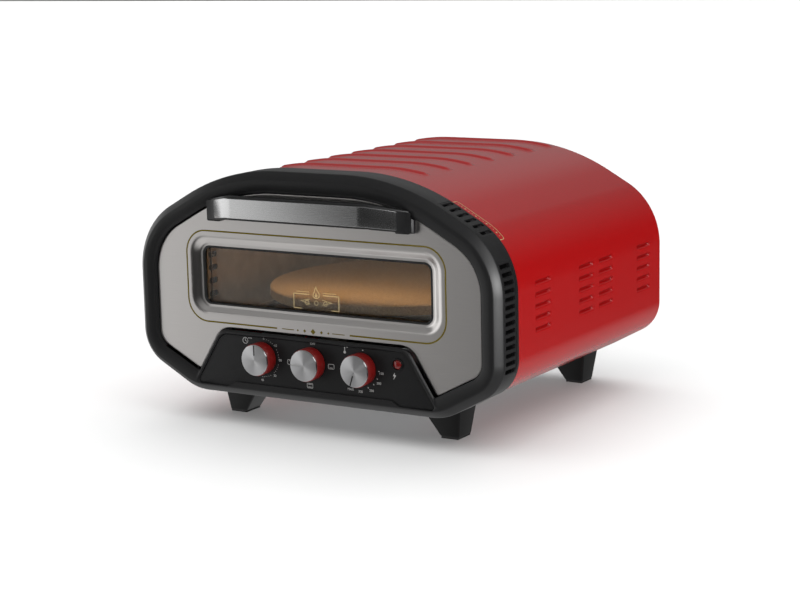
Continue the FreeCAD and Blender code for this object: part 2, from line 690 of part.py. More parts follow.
def make_element(label, level):
    """A tubular heating element bent into four runs, with both ends through the rear wall."""
    body = new_body(label)
    spine = new_sketch(body, "XY_Plane", level)
    rows = [("-3 * element_run", "chamber_back + 22"), ("-3 * element_run", "element_front"),
            ("-element_run", "element_front"), ("-element_run", "element_rear"),
            ("element_run", "element_rear"), ("element_run", "element_front"),
            ("3 * element_run", "element_front"), ("3 * element_run", "chamber_back + 22")]
    spots = [Vector(value(x), value(y), 0) for x, y in rows]
    for i in range(0, 8, 2):
        line = spine.addGeometry(Part.LineSegment(spots[i], spots[i + 1]), False)
        pin_down(spine, line, 1, *rows[i])
        pin_down(spine, line, 2, *rows[i + 1])
        if i == 6:
            continue
        centre = (spots[i + 1] + spots[i + 2]) * 0.5
        bend = Part.Circle(centre, Vector(0, 0, 1), value("element_run"))
        angles = (2 * QUARTER, 4 * QUARTER) if i != 2 else (0, 2 * QUARTER)
        arc = spine.addGeometry(Part.ArcOfCircle(bend, *angles), False)
        pin_down(spine, arc, 3, f"{(i - 2) / 2} * 2 * element_run", rows[i + 1][1])
        near = 1 if i != 2 else 2
        spine.addConstraint(Sketcher.Constraint("Coincident", line, 2, arc, near))
    profile = new_sketch(body, level="chamber_back + 22")
    circle(profile, rows[0][0], level, "element_radius")
    pipe = body.newObject("PartDesign::AdditivePipe", "Pipe")
    pipe.Profile = profile
    pipe.Spine = spine
    return body


def make_element_mounts():
    straps = []
    for y in ("150", "280"):
        for foot, level, rise in (("chamber_top - chamber_sheet", "upper_element_z", 1),
                                  ("chamber_floor + chamber_sheet", "lower_element_z", -1)):
            bar_z = f"{level} - element_radius - 1.5"
            bar = box("-135", y, bar_z, "270", "8", "1.5")
            posts = []
            for x in ("-135", "133.5", "-0.75"):
                low = bar_z if rise > 0 else foot
                high = foot if rise > 0 else bar_z
                posts.append(box(x, y, low, "1.5", "8", f"{high} - ({low})"))
            straps.append(fuse([bar] + posts))
    part(group(straps), "element_straps")
    bushes = []
    for z in ("upper_element_z", "lower_element_z"):
        for sign in (-1, 1):
            x = f"{sign} * 3 * element_run"
            outer = rod("7", "9", x, "chamber_back + sheet_metal", z)
            bushes.append(cut(outer, [rod("element_radius", "12", x, "chamber_back", z)]))
    part(group(bushes), "element_bushes")


def make_stone():
    low = "support_top - 2"
    disc = rod("stone_radius - 8", "2", "0", "stone_y", low, "z")
    ring = cut(disc, [rod("stone_radius - 24", "4", "0", "stone_y", f"{low} - 1", "z")])
    legs = []
    reach = "stone_radius - 16"
    floor = "chamber_floor + chamber_sheet"
    for x, y in ((reach, "0"), (f"-({reach})", "0"), ("0", reach), ("0", f"-({reach})")):
        legs.append(rod("4", f"{low} - ({floor})", x, f"stone_y + {y}", floor, "z"))
    part(fuse([ring] + legs), "stone_support")
    body = new_body("pizza_stone")
    sketch = new_sketch(body, "XY_Plane", "support_top")
    circle(sketch, "0", "stone_y", "stone_radius")
    pad(body, sketch, "stone_thickness")
    doc.recompute()
    rims = [f"Edge{n}" for n, edge in enumerate(body.Tip.Shape.Edges, start=1) if len(edge.Vertexes) == 1]
    dress(body, "Chamfer", rims, "1.5")


# ---------------------------------------------------------------- controls

def make_controls():
    bracket = box("-130", "12", "48", "260", "sheet_metal", "56")
    ears = [box(x, "12", "48", "sheet_metal", "frame_y - 12", "56") for x in ("-130", "128.8")]
    bores = [rod("shaft_radius + shaft_fit", "20", f"{side} * knob_pitch", "5", "knob_z")
             for side, _ in KNOBS.values()]
    part(cut(fuse([bracket] + ears), bores), "control_bracket")
    back = "12 + sheet_metal"
    bore_depth = "shaft_end + 1 - 12 - sheet_metal"
    hole = {name: rod("shaft_radius + shaft_fit", bore_depth, f"{side} * knob_pitch", back, "knob_z")
            for name, (side, _) in KNOBS.items()}
    works = box("-knob_pitch - 22", back, "60", "44", "34", "42")
    bell = rod("15", "7", "-knob_pitch", f"{back} + 34", "knob_z")
    part(cut(fuse([works, bell]), [hole["timer"]]), "timer_mechanism")
    core = box("-18", back, "63.5", "36", "30", "36")
    tabs = [box(x, f"{back} + 30", z, "0.8", "8", "6.3") for x in ("-12", "0", "12") for z in ("68", "84")]
    part(cut(fuse([core] + tabs), [hole["selector"]]), "selector_switch")
    can = rod("19", "16", "knob_pitch", back, "knob_z")
    contacts = box("knob_pitch - 15", f"{back} + 16", "knob_z - 9", "30", "14", "18")
    part(cut(fuse([can, contacts]), [hole["thermostat"]]), "thermostat_body")
    line = [("knob_pitch + 8", "43.2", "knob_z"), ("knob_pitch + 8", "56", "knob_z"),
            ("150", "56", "knob_z"), ("150", "375", "knob_z"), ("150", "375", "200"), ("150", "300", "200")]
    bulb = rod("2.5", "80", "150", "225", "200")
    part(fuse([tube(line, 0.9, 5), bulb]), "thermostat_bulb")


def make_knob(name, side, pointer):
    """A red knob with an aluminium cap on a steel shaft; the cap's groove is its pointer."""
    x = f"{side} * knob_pitch"
    front = "knob_front"
    outer = rod("knob_radius", f"panel_face - fit_gap - {front}", x, front, "knob_z")
    inside = rod("knob_radius - knob_wall", "30", x, f"{front} + 3", "knob_z")
    boss = rod("shaft_radius + 3", f"panel_face - 1 - {front}", x, front, "knob_z")
    bore = rod("shaft_radius", "30", x, f"{front} + 3", "knob_z")
    part(cut(fuse([cut(outer, [inside]), boss]), [bore]), f"{name}_knob")
    disc = rod("cap_radius", "cap_thickness", x, f"{front} - cap_thickness", "knob_z")
    part(cut(disc, [pointer_groove(x, pointer)]), f"{name}_cap")
    part(rod("shaft_radius", f"shaft_end - {front} - 3", x, f"{front} + 3", "knob_z"), f"{name}_shaft")


def pointer_groove(x, pointer):
    """The groove in a cap, from near the middle to near the rim, at an angle clockwise from the top."""
    groove = doc.addObject("Part::Box", "Groove")
    groove.setExpression("Length", "1.6")
    groove.setExpression("Width", "0.8")
    groove.setExpression("Height", link("cap_radius - 4.5"))
    turn = Rotation(Vector(0, 1, 0), pointer)
    start = turn.multVec(Vector(-0.8, 0, 3))
    groove.Placement = Placement(Vector(), turn)
    return place(groove, f"{x} + {start.x:.4f}", "knob_front - cap_thickness - 0.4",
                 f"knob_z + {start.z:.4f}")


# ---------------------------------------------------------------- door

def make_door_skin():
    body = new_body("door_skin")
    prism(body, door_outline("ring_width", "door_gap"), "0", "skin_rim")
    prism(body, door_outline("ring_width + skin", "door_gap + skin"), "skin", cutting=True)
    prism(body, upright_box("recess_half + skin", "recess_top + skin", "recess_low - skin",
                            "recess_radius + skin"), "skin / 2", "recess_depth + skin / 2")
    prism(body, upright_box("recess_half", "recess_top", "recess_low", "recess_radius"), "0",
          "recess_depth", cutting=True)
    prism(body, upright_box("window_half", "window_top", "window_low", "window_radius"), "0", cutting=True)
    holes = new_sketch(body, level="0")
    for sign in ("", "-"):
        circle(holes, f"{sign}({GRIP_SCREW[0]})", GRIP_SCREW[1], "screw_radius")
    pocket(body, holes)


def frame_ring(label, outer, inner, level, length):
    """A flat ring between two outlines, such as a gasket."""
    body = new_body(label)
    prism(body, outer, level, length)
    prism(body, inner, level, cutting=True)


def make_door_inside():
    back = "recess_depth + skin"
    half, top, low = "window_half + glass_margin", "window_top + glass_margin", "window_low - glass_margin"
    pane = upright_box(half, top, low, "6")
    frame_ring("window_gasket", upright_box(half, top, low, "window_radius + glass_margin"),
               upright_box("window_half - 1.5", "window_top - 1.5", "window_low + 1.5",
                           "window_radius - 1.5"),
               back, "2")
    prism(new_body("door_outer_glass"), pane, f"{back} + 2", "glass")
    prism(new_body("door_inner_glass"), pane, f"{back} + 11", "3")
    liner = new_body("door_liner")
    edge = "ring_width + 4"
    prism(liner, shouldered_box("liner_half", "liner_top", "liner_low", "14", edge),
          "skin", "liner_back - skin")
    inside = shouldered_box("liner_half - 0.8", "liner_top - 0.8", "liner_low + 0.8", "13.2", f"{edge} + 0.8")
    prism(liner, inside, "skin", "liner_back - skin - 0.8", cutting=True)
    prism(liner, upright_box("window_half", "window_top", "window_low", "3"), "0", cutting=True)
    clear = new_sketch(liner, level="0")
    polygon(clear, [("recess_half + skin + 0.2", "recess_top + skin + 0.2"),
                    ("recess_half + skin + 0.2", "recess_low - skin - 0.2")])
    pocket(liner, clear, f"{back} + 0.1")
    frame_ring("glass_retainer", upright_box(f"{half} + 8", f"{top} + 8", f"{low} - 8", "14"),
               upright_box(f"{half} - 4", f"{top} - 4", f"{low} + 4", "4"), f"{back} + 2 + glass", "1.5")
    frame_ring("door_seal",
               shouldered_box("liner_half - 3", "liner_top - 2", "liner_low + 1", "14", f"{edge} + 3"),
               shouldered_box("liner_half - 10", "liner_top - 9", "liner_low + 8", "9", f"{edge} + 10"),
               "liner_back", "seal_depth")


def make_handle():
    """A bowed bar: flat in the middle, bent back to the door at both ends, with a metal band on it."""
    front_view = [("grip_half", "grip_top"), ("grip_end + 4", "grip_end_top"),
                  ("grip_end + 4", "grip_end_low"), ("grip_half", "grip_low")]
    body = new_body("handle_body")
    sketch = new_sketch(body, level="grip_front + trim")
    polygon(sketch, front_view)
    pad(body, sketch, "-grip_front - trim")
    outside = new_sketch(body, "XY_Plane", "300")
    far = "grip_end + 30"
    polygon(outside, [("grip_half", "grip_front + trim"), (far, "grip_front + trim"), (far, "-5"),
                      ("grip_end", "-6")], mirrored=False)
    polygon(outside, [("-grip_half", "grip_front + trim"), (f"-({far})", "grip_front + trim"),
                      (f"-({far})", "-5"), ("-grip_end", "-6")], mirrored=False)
    pocket(body, outside)
    gap = new_sketch(body, "XY_Plane", "300")
    polygon(gap, [("grip_half - 6", "grip_front + grip_thick"), ("grip_end - 14", "-6"),
                  ("grip_end - 12", "1")])
    pocket(body, gap)
    pilots = new_sketch(body, level="-8")
    for sign in ("", "-"):
        circle(pilots, f"{sign}({GRIP_SCREW[0]})", GRIP_SCREW[1], "screw_radius")
    pocket(body, pilots)
    clear_bezel(body)
    band = new_body("handle_trim")
    plan = new_sketch(band, "XY_Plane", "grip_low - 10")
    polygon(plan, [("grip_half", "grip_front"), ("grip_end", "-6 - trim * 1.4"), ("grip_end", "-6"),
                   ("grip_half", "grip_front + trim")])
    pad(band, plan, "60")
    window = new_sketch(band, level="grip_front - 5")
    polygon(window, [("200", "grip_top + 60"), ("200", "grip_low - 30")])
    polygon(window, [("grip_half", "grip_top - trim_margin"),
                     ("grip_end", "grip_end_top - trim_margin + 0.6"),
                     ("grip_end", "grip_end_low + trim_margin - 0.4"),
                     ("grip_half", "grip_low + trim_margin")])
    pocket(band, window)
    clear_bezel(band)
    screws = []
    for sign in ("", "-"):
        spot = (f"{sign}({GRIP_SCREW[0]})", GRIP_SCREW[1])
        head = rod("3.4", "2", spot[0], "skin", spot[1])
        shank = rod("screw_radius", "8", spot[0], "skin - 8", spot[1])
        screws.append(fuse([head, shank]))
    part(group(screws), "handle_screws")


def clear_bezel(body):
    """Trims whatever would reach past the door's edge into the bezel."""
    sketch = new_sketch(body, level="-bezel_proud - fit_gap")
    polygon(sketch, [("half_width + 20", "overall_height + 20"), ("half_width + 20", "0")])
    polygon(sketch, door_outline("ring_width", "door_gap"))
    pocket(body, sketch)


def make_hinges():
    """The door's arms turn on pins held behind the bezel; the arms reach over the bezel's lower lip."""
    arms = []
    ears = []
    pins = []
    for sign in (-1, 1):
        def across(start, width):
            return f"{sign} * ({start} + ({width}) / 2) - ({width}) / 2"
        arm_x = across("arm_x", "arm_thickness")
        low = "hinge_z - eye_radius"
        eye = rod("eye_radius", "arm_thickness", arm_x, "hinge_y", "hinge_z", "x")
        reach = box(arm_x, "hinge_y", low, "arm_thickness", "19", "eye_radius + 2")
        upright = box(arm_x, "hinge_y + 13", low, "arm_thickness", "6", "eye_radius + 53")
        web = box(arm_x, "skin", "hinge_z + 15", "arm_thickness", "15", "38")
        foot = box(across("arm_x", "16"), "skin", "hinge_z + 26", "16", "2", "27")
        bore = rod("pin_radius + shaft_fit", "arm_thickness + 4", across("arm_x - 2", "arm_thickness + 4"),
                   "hinge_y", "hinge_z", "x")
        arms.append(cut(fuse([eye, reach, upright, web, foot]), [bore]))
        cheeks = []
        for start in ("arm_x - 3.5", "arm_x + 3.2"):
            cheeks.append(box(across(start, "2"), "hinge_y - 3", "hinge_z - 2.9",
                              "2", "frame_y - hinge_y + 3", "6.9"))
        cheeks.append(box(across("arm_x - 3.5", "8.7"), "frame_y - 1.5", "hinge_z - 2.9",
                          "8.7", "1.5", "6.9"))
        seat = rod("pin_radius", "20", across("arm_x - 8", "20"), "hinge_y", "hinge_z", "x")
        ears.append(cut(fuse(cheeks), [seat]))
        pins.append(rod("pin_radius", "11", across("arm_x - 4.5", "11"), "hinge_y", "hinge_z", "x"))
    part(group(arms), "hinge_arms")
    part(group(ears), "hinge_brackets")
    part(group(pins), "hinge_pins")


# ---------------------------------------------------------------- electrics

def make_electrics():
    back = "chamber_back + sheet_metal"
    cup = rod("8", "9", "-60", back, "170")
    blades = [box(x, f"{back} + 9", "167", "6", "7", "0.8") for x in ("-70", "-56")]
    flange = box("-72", back, "162", "24", "1", "16")
    part(fuse([cup, flange] + blades), "thermal_cutout")
    floor = "base_z + casing_inset + 1 + sheet_metal"
    block = box("95", "335", floor, "46", "20", "15")
    wells = [rod("2.2", "12", x, "345", f"{floor} + 6", "z") for x in ("103", "118", "133")]
    part(cut(block, wells), "terminal_block")
    plate_back = "casing_back - 5.8"
    collar = rod("9", f"gland_back - ({plate_back})", "gland_x", plate_back, "gland_z")
    neck = rod("gland_bore + 2", "12", "gland_x", f"{plate_back} - 12", "gland_z")
    nut = rod("9", "4", "gland_x", f"{plate_back} - sheet_metal - 4", "gland_z")
    bore = rod("gland_bore", "40", "gland_x", f"{plate_back} - 20", "gland_z")
    part(cut(fuse([collar, neck, nut]), [bore]), "cord_gland")
    wires = [
        [("103", "345", "52"), ("103", "345", "70"), ("103", "70", "70"), ("12.4", "70", "86"),
         ("12.4", "51.2", "86")],
        [("133", "345", "52"), ("133", "345", "62"), ("-120", "345", "62"), ("-120", "378", "62"),
         ("-120", "378", "116")],
        [("-67", "377.2", "167.4"), ("-67", "385", "167.4"), ("-90", "385", "150"), ("-90", "380", "90"),
         ("-90", "80", "90"), ("-60", "80", "80"), ("-60", "62", "80")],
    ]
    part(group([tube(points, 1.1, 4) for points in wires]), "internal_wiring")


# ---------------------------------------------------------------- build, check, export

def check_document():
    """Stops when an object failed to build or a piece has no sound shape."""
    for item in doc.Objects:
        if "Invalid" in item.State or "Error" in item.State:
            raise SystemExit(f"{item.Name} ({item.Label}) failed: {item.State}")
    for item in parts:
        if item.Shape.isNull() or not item.Shape.isValid() or not item.Shape.Solids:
            raise SystemExit(f"{item.Label} has no valid solid")


def export_parts():
    os.makedirs("parts", exist_ok=True)
    for item in parts:
        item.Shape.exportStep(f"parts/{item.Label}.step")
        print(f"{item.Label}: {len(item.Shape.Solids)} solid(s), {item.Shape.Volume / 1000:.1f} cm3")


make_front_bezel()
make_control_panel()
make_indicator()
make_front_frame()
make_outer_casing()
make_rear_panel()
make_base_pan()
make_feet()
make_screws()
make_chamber()
make_vent_strips()
make_element("upper_element", "upper_element_z")
make_element("lower_element", "lower_element_z")
make_element_mounts()
make_stone()
make_controls()
for knob_name, (knob_side, knob_pointer) in KNOBS.items():
    make_knob(knob_name, knob_side, knob_pointer)
make_door_skin()
make_door_inside()
make_handle()
make_hinges()
make_electrics()
doc.recompute()
check_document()
export_parts()
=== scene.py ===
import json
import math

import bmesh
import bpy
from mathutils import Matrix, Vector


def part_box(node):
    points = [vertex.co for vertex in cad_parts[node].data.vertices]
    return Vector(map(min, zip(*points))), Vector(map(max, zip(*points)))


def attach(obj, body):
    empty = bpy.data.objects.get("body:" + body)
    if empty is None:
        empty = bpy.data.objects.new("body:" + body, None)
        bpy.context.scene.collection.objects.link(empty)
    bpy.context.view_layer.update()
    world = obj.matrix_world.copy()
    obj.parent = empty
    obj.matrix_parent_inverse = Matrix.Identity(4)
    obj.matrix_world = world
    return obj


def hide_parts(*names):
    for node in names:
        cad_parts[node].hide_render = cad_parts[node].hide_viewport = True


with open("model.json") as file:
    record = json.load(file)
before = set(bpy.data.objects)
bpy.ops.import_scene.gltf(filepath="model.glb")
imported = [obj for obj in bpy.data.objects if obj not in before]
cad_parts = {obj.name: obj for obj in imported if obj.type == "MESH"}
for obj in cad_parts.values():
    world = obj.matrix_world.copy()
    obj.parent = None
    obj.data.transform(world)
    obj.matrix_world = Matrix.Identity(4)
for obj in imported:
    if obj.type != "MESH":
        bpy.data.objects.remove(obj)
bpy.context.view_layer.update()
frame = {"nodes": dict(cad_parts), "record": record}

MM = 0.001
DOOR_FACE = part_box("door_skin")[0].y / MM

# ---------------- the oven's outline
HALF_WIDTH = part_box("front_bezel")[1].x / MM
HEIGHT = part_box("front_bezel")[1].z / MM
BASE_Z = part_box("front_bezel")[0].z / MM
CROWN_HALF, CROWN_RADIUS = 110, 250
SHOULDER_ANGLE, SHOULDER_RADIUS = math.radians(29.3), 84
FLANK_ANGLE, FLANK_RADIUS = math.radians(28.4), 44
BASE_HALF, KEEL_RADIUS = 162.6, 60
PANEL_HALF, PANEL_TOP, PANEL_LOW = 122.4, 109, 44.5
PANEL_LEAN, PANEL_RADIUS, PANEL_RIM = math.radians(31.8), 20, 4.3
PANEL_STEP_HALF, PANEL_STEP = 112, 6
RIGHT_ANGLE = math.pi / 2

# ---------------- depths and details
BEZEL_FRONT, BEZEL_BACK, BEZEL_BEVEL = -6, 35, 8
HINGE_CLEAR = 82
RING_WIDTH, DOOR_GAP = 24, 0.9
VENTS, VENT_PITCH, VENT_TOP, VENT_Y = 14, 8.46, 201, 17
VENT_LENGTH, VENT_HEIGHT = 21, 4.6
SHOULDER_VENTS, SHOULDER_VENT_X, SHOULDER_PITCH, SHOULDER_VENT_Y = 6, 182, 10.3, 22
CASING_INSET, CASING_FRONT, CASING_BACK = 2.5, 38, 397
CASING_SHEET, LIP_HALF = 1.0, 100
BEADS, BEAD_FIRST, BEAD_PITCH = 7, 88, 49
BEAD_HALF, BEAD_WIDTH, BEAD_HEIGHT = 97, 11, 2.3
LOUVRE_CENTRES = (95, 199, 249, 350)
LOUVRE_ROWS = (176.4, 163.8, 151.2, 138.6, 126)
LOUVRE_LENGTH, LOUVRE_FALL, LOUVRE_DEPTH = 36, 5.6, 3.4
LOUVRE_BENDS = (-0.9, 0.0, 0.12, 0.8, 1.6, 2.4, 3.2, 4.0, 4.8, LOUVRE_FALL, LOUVRE_FALL + 0.9)
# half width, top, bottom and corner radius of the recess and of the window in it
RECESS = (161.5, 212, 125, 20)
WINDOW = (148.5, 200, 135, 9)
RECESS_DEPTH, DOOR_SHEET = 5, 0.8
STRIP_SHEET, STRIP_SLOTS, STRIP_SLOT_LOW, STRIP_SLOT_PITCH, STRIP_SLOT_Y = 1.2, 4, 143.5, 15, 22
GRIP_HALF, GRIP_FRONT, GRIP_THICK, GRIP_END = 90, -33, 11, 133
GRIP_MIDDLE, GRIP_TIP = (237.5, 263.5), (231.5, 255)
LABEL_X, LABEL_BACK = (155, 213), 48.6
PANEL_FACE = -4.5
FACE_PRINT = (-0.06, 0.02)
# inner side, outer side and half depth of a foot at its top, and what they change by towards the table
FOOT_TOP, FOOT_TAPER = (105, 157, 19.5), (24, -5, -5)
# how far each knob's pointer is turned clockwise from straight up
KNOBS = {"timer": 0, "selector": -90, "thermostat": 198}

# ---------------- lights and camera
FLOOR_REACH = 12.0
SKY_LIGHT, BASE_LIGHT, BACK_WALL_LIGHT = 0.42, 0.03, 0.24
FAR_GROUND_LIGHT, NEAR_GROUND_LIGHT, CARD_LIGHT = 0.38, 0.85, 1.5
FLOOR_SUNS = (("floor_light", 7.8, 100, True), ("floor_fill", 1.7, 10, False))
CAMERA_SPOT, CAMERA_ANGLES, CAMERA_LENS = (1.17485, -1.9099, 0.53869), (31.64, 10.6, -1.28), 88


def row(x, y, z):
    """A point of the oven's own measure, in the frame's metres."""
    return Vector((x, y + DOOR_FACE, z)) * MM


# ---------------- outlines, as (x, z) points
def rounded(corners, mirrored=True):
    """A closed outline round (x, z, radius, steps) corners; mirrored adds them on the other side."""
    if mirrored:
        corners = corners + [(-x, z, radius, steps) for x, z, radius, steps in reversed(corners)]
    spots = [Vector((x, z)) for x, z, _, _ in corners]
    points = []
    for i, (spot, (_, _, radius, steps)) in enumerate(zip(spots, corners)):
        back = (spots[i - 1] - spot).normalized()
        ahead = (spots[(i + 1) % len(spots)] - spot).normalized()
        half = back.angle(ahead) / 2
        centre = spot + (back + ahead).normalized() * (radius / math.sin(half))
        first = spot + back * (radius / math.tan(half)) - centre
        last = spot + ahead * (radius / math.tan(half)) - centre
        start = math.atan2(first.y, first.x)
        sweep = math.atan2(first.x * last.y - first.y * last.x, first.dot(last))
        for k in range(steps + 1):
            angle = start + sweep * k / steps
            points.append((centre.x + radius * math.cos(angle), centre.y + radius * math.sin(angle)))
    return points


def outline_corners(inset):
    """Crown, shoulder, flank and keel of the housing's outline, moved inwards."""
    half = HALF_WIDTH - inset
    shoulder_z = HEIGHT - (HALF_WIDTH - CROWN_HALF) * math.tan(SHOULDER_ANGLE)
    flank_z = BASE_Z + (HALF_WIDTH - BASE_HALF) * math.tan(FLANK_ANGLE)
    return [
        (CROWN_HALF - inset * math.tan(SHOULDER_ANGLE / 2), HEIGHT - inset, CROWN_RADIUS - inset, 14),
        (half, shoulder_z - inset * math.tan(RIGHT_ANGLE / 2 - SHOULDER_ANGLE / 2), SHOULDER_RADIUS - inset,
         14),
        (half, flank_z + inset * math.tan(RIGHT_ANGLE / 2 - FLANK_ANGLE / 2), FLANK_RADIUS - inset, 12),
        (BASE_HALF - inset * math.tan(FLANK_ANGLE / 2), BASE_Z + inset, KEEL_RADIUS - inset, 10),
    ]


def outline(inset):
    return rounded(outline_corners(inset))


def door_outline(inset, gap):
    """The door's outline: the housing's, notched round the control panel's rim."""
    rise = PANEL_TOP - BASE_Z - inset
    return rounded(outline_corners(inset)[:3] + [
        (PANEL_HALF + rise * math.tan(PANEL_LEAN) + gap / math.cos(PANEL_LEAN), BASE_Z + inset, 3, 5),
        (PANEL_HALF + gap * math.tan(RIGHT_ANGLE / 2 - PANEL_LEAN / 2), PANEL_TOP + gap,
         PANEL_RADIUS + gap, 8)])


def panel_outline(inset):
    """The control panel's outline, whose lower edge steps up in the middle."""
    drop = PANEL_TOP - PANEL_LOW
    return rounded([
        (PANEL_HALF - inset * math.tan(RIGHT_ANGLE / 2 - PANEL_LEAN / 2), PANEL_TOP - inset,
         PANEL_RADIUS - inset, 8),
        (PANEL_HALF + drop * math.tan(PANEL_LEAN) - inset / math.cos(PANEL_LEAN), PANEL_LOW, 4, 6),
        (PANEL_STEP_HALF, PANEL_LOW, 7, 4),
        (PANEL_STEP_HALF - 10, PANEL_LOW + PANEL_STEP, 7, 4)])


def upright(half, top, low, radius, steps=8):
    """A rectangle with round corners, centred on the middle plane."""
    return rounded([(half, top, radius, steps), (half, low, radius, steps)])


def between(first, second, share):
    return tuple(a + (b - a) * share for a, b in zip(first, second))


# ---------------- mesh building
def add_ring(bm, points, y):
    return [bm.verts.new(row(x, y, z)) for x, z in points]


def bridge(bm, first, second):
    count = len(first)
    for i in range(count):
        k = (i + 1) % count
        bm.faces.new((first[i], first[k], second[k], second[i]))


def close_ends(bm, rings):
    bm.faces.new(rings[0])
    bm.faces.new(rings[-1])


def tube(bm, rings):
    """Walls from ring to ring, and a face at either end."""
    for before, after in zip(rings, rings[1:]):
        bridge(bm, before, after)
    close_ends(bm, rings)


def loft(bm, levels, closed=True):
    """A skin over (points, y) levels, with a flat face at either end unless it is left open."""
    rings = [add_ring(bm, points, y) for points, y in levels]
    for before, after in zip(rings, rings[1:]):
        bridge(bm, before, after)
    if closed:
        close_ends(bm, rings)
    return rings


def stroke(bm, points, width, front, back, closed=False):
    """A flat ribbon of that width along (x, z) points, from y = front to y = back."""
    spots = [Vector(p) for p in points]
    count = len(spots)
    rings = []
    for i, spot in enumerate(spots):
        before = spots[i - 1] if i or closed else spot * 2 - spots[1]
        after = spots[(i + 1) % count] if i < count - 1 or closed else spot * 2 - spots[i - 1]
        ways = [(spot - before).normalized(), (after - spot).normalized()]
        side = Vector((-(ways[0] + ways[1]).y, (ways[0] + ways[1]).x)).normalized()
        reach = width / 2 / max(side.dot(Vector((-ways[0].y, ways[0].x))), 0.3)
        ends = (spot + side * reach, spot - side * reach)
        corners = ((ends[0], front), (ends[1], front), (ends[1], back), (ends[0], back))
        rings.append([bm.verts.new(row(end.x, y, end.y)) for end, y in corners])
    pairs = list(zip(rings, rings[1:])) + ([(rings[-1], rings[0])] if closed else [])
    for first, second in pairs:
        bridge(bm, first, second)
    if not closed:
        close_ends(bm, rings)


def slab(bm, points, front, back):
    """A flat plate of that outline."""
    loft(bm, [(points, front), (points, back)])


def disc(x, z, radius, steps=20):
    angles = [2 * math.pi * k / steps for k in range(steps)]
    return [(x + radius * math.cos(angle), z + radius * math.sin(angle)) for angle in angles]


def object_from(bm, name):
    bmesh.ops.recalc_face_normals(bm, faces=bm.faces)
    mesh = bpy.data.meshes.new(name)
    bm.to_mesh(mesh)
    bm.free()
    obj = bpy.data.objects.new(name, mesh)
    bpy.context.scene.collection.objects.link(obj)
    return obj


def lofted(name, levels):
    bm = bmesh.new()
    loft(bm, levels)
    return object_from(bm, name)


def modify(obj, kind, **settings):
    """Runs one modifier on obj and keeps what it makes."""
    modifier = obj.modifiers.new(kind, kind)
    for key, setting in settings.items():
        setattr(modifier, key, setting)
    view = bpy.context.evaluated_depsgraph_get()
    changed = bpy.data.meshes.new_from_object(obj.evaluated_get(view))
    obj.modifiers.clear()
    obj.data = changed


def carve(obj, tool, operation="DIFFERENCE"):
    """Cuts the tool out of obj, or joins it to obj, and uses the tool up."""
    modify(obj, "BOOLEAN", object=tool, operation=operation, solver="EXACT")
    bpy.data.objects.remove(tool)


def finish_piece(obj, body, slot, stands_for=(), edge=35, look=None):
    """Gives a piece its smooth shading, its finish, the body it moves with and the nodes it stands for."""
    obj.data.shade_smooth()
    obj.data.set_sharp_from_angle(angle=math.radians(edge))
    obj.data.materials.clear()
    obj.data.materials.append(surface(look or slot))
    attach(obj, body)
    if stands_for:
        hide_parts(*stands_for)


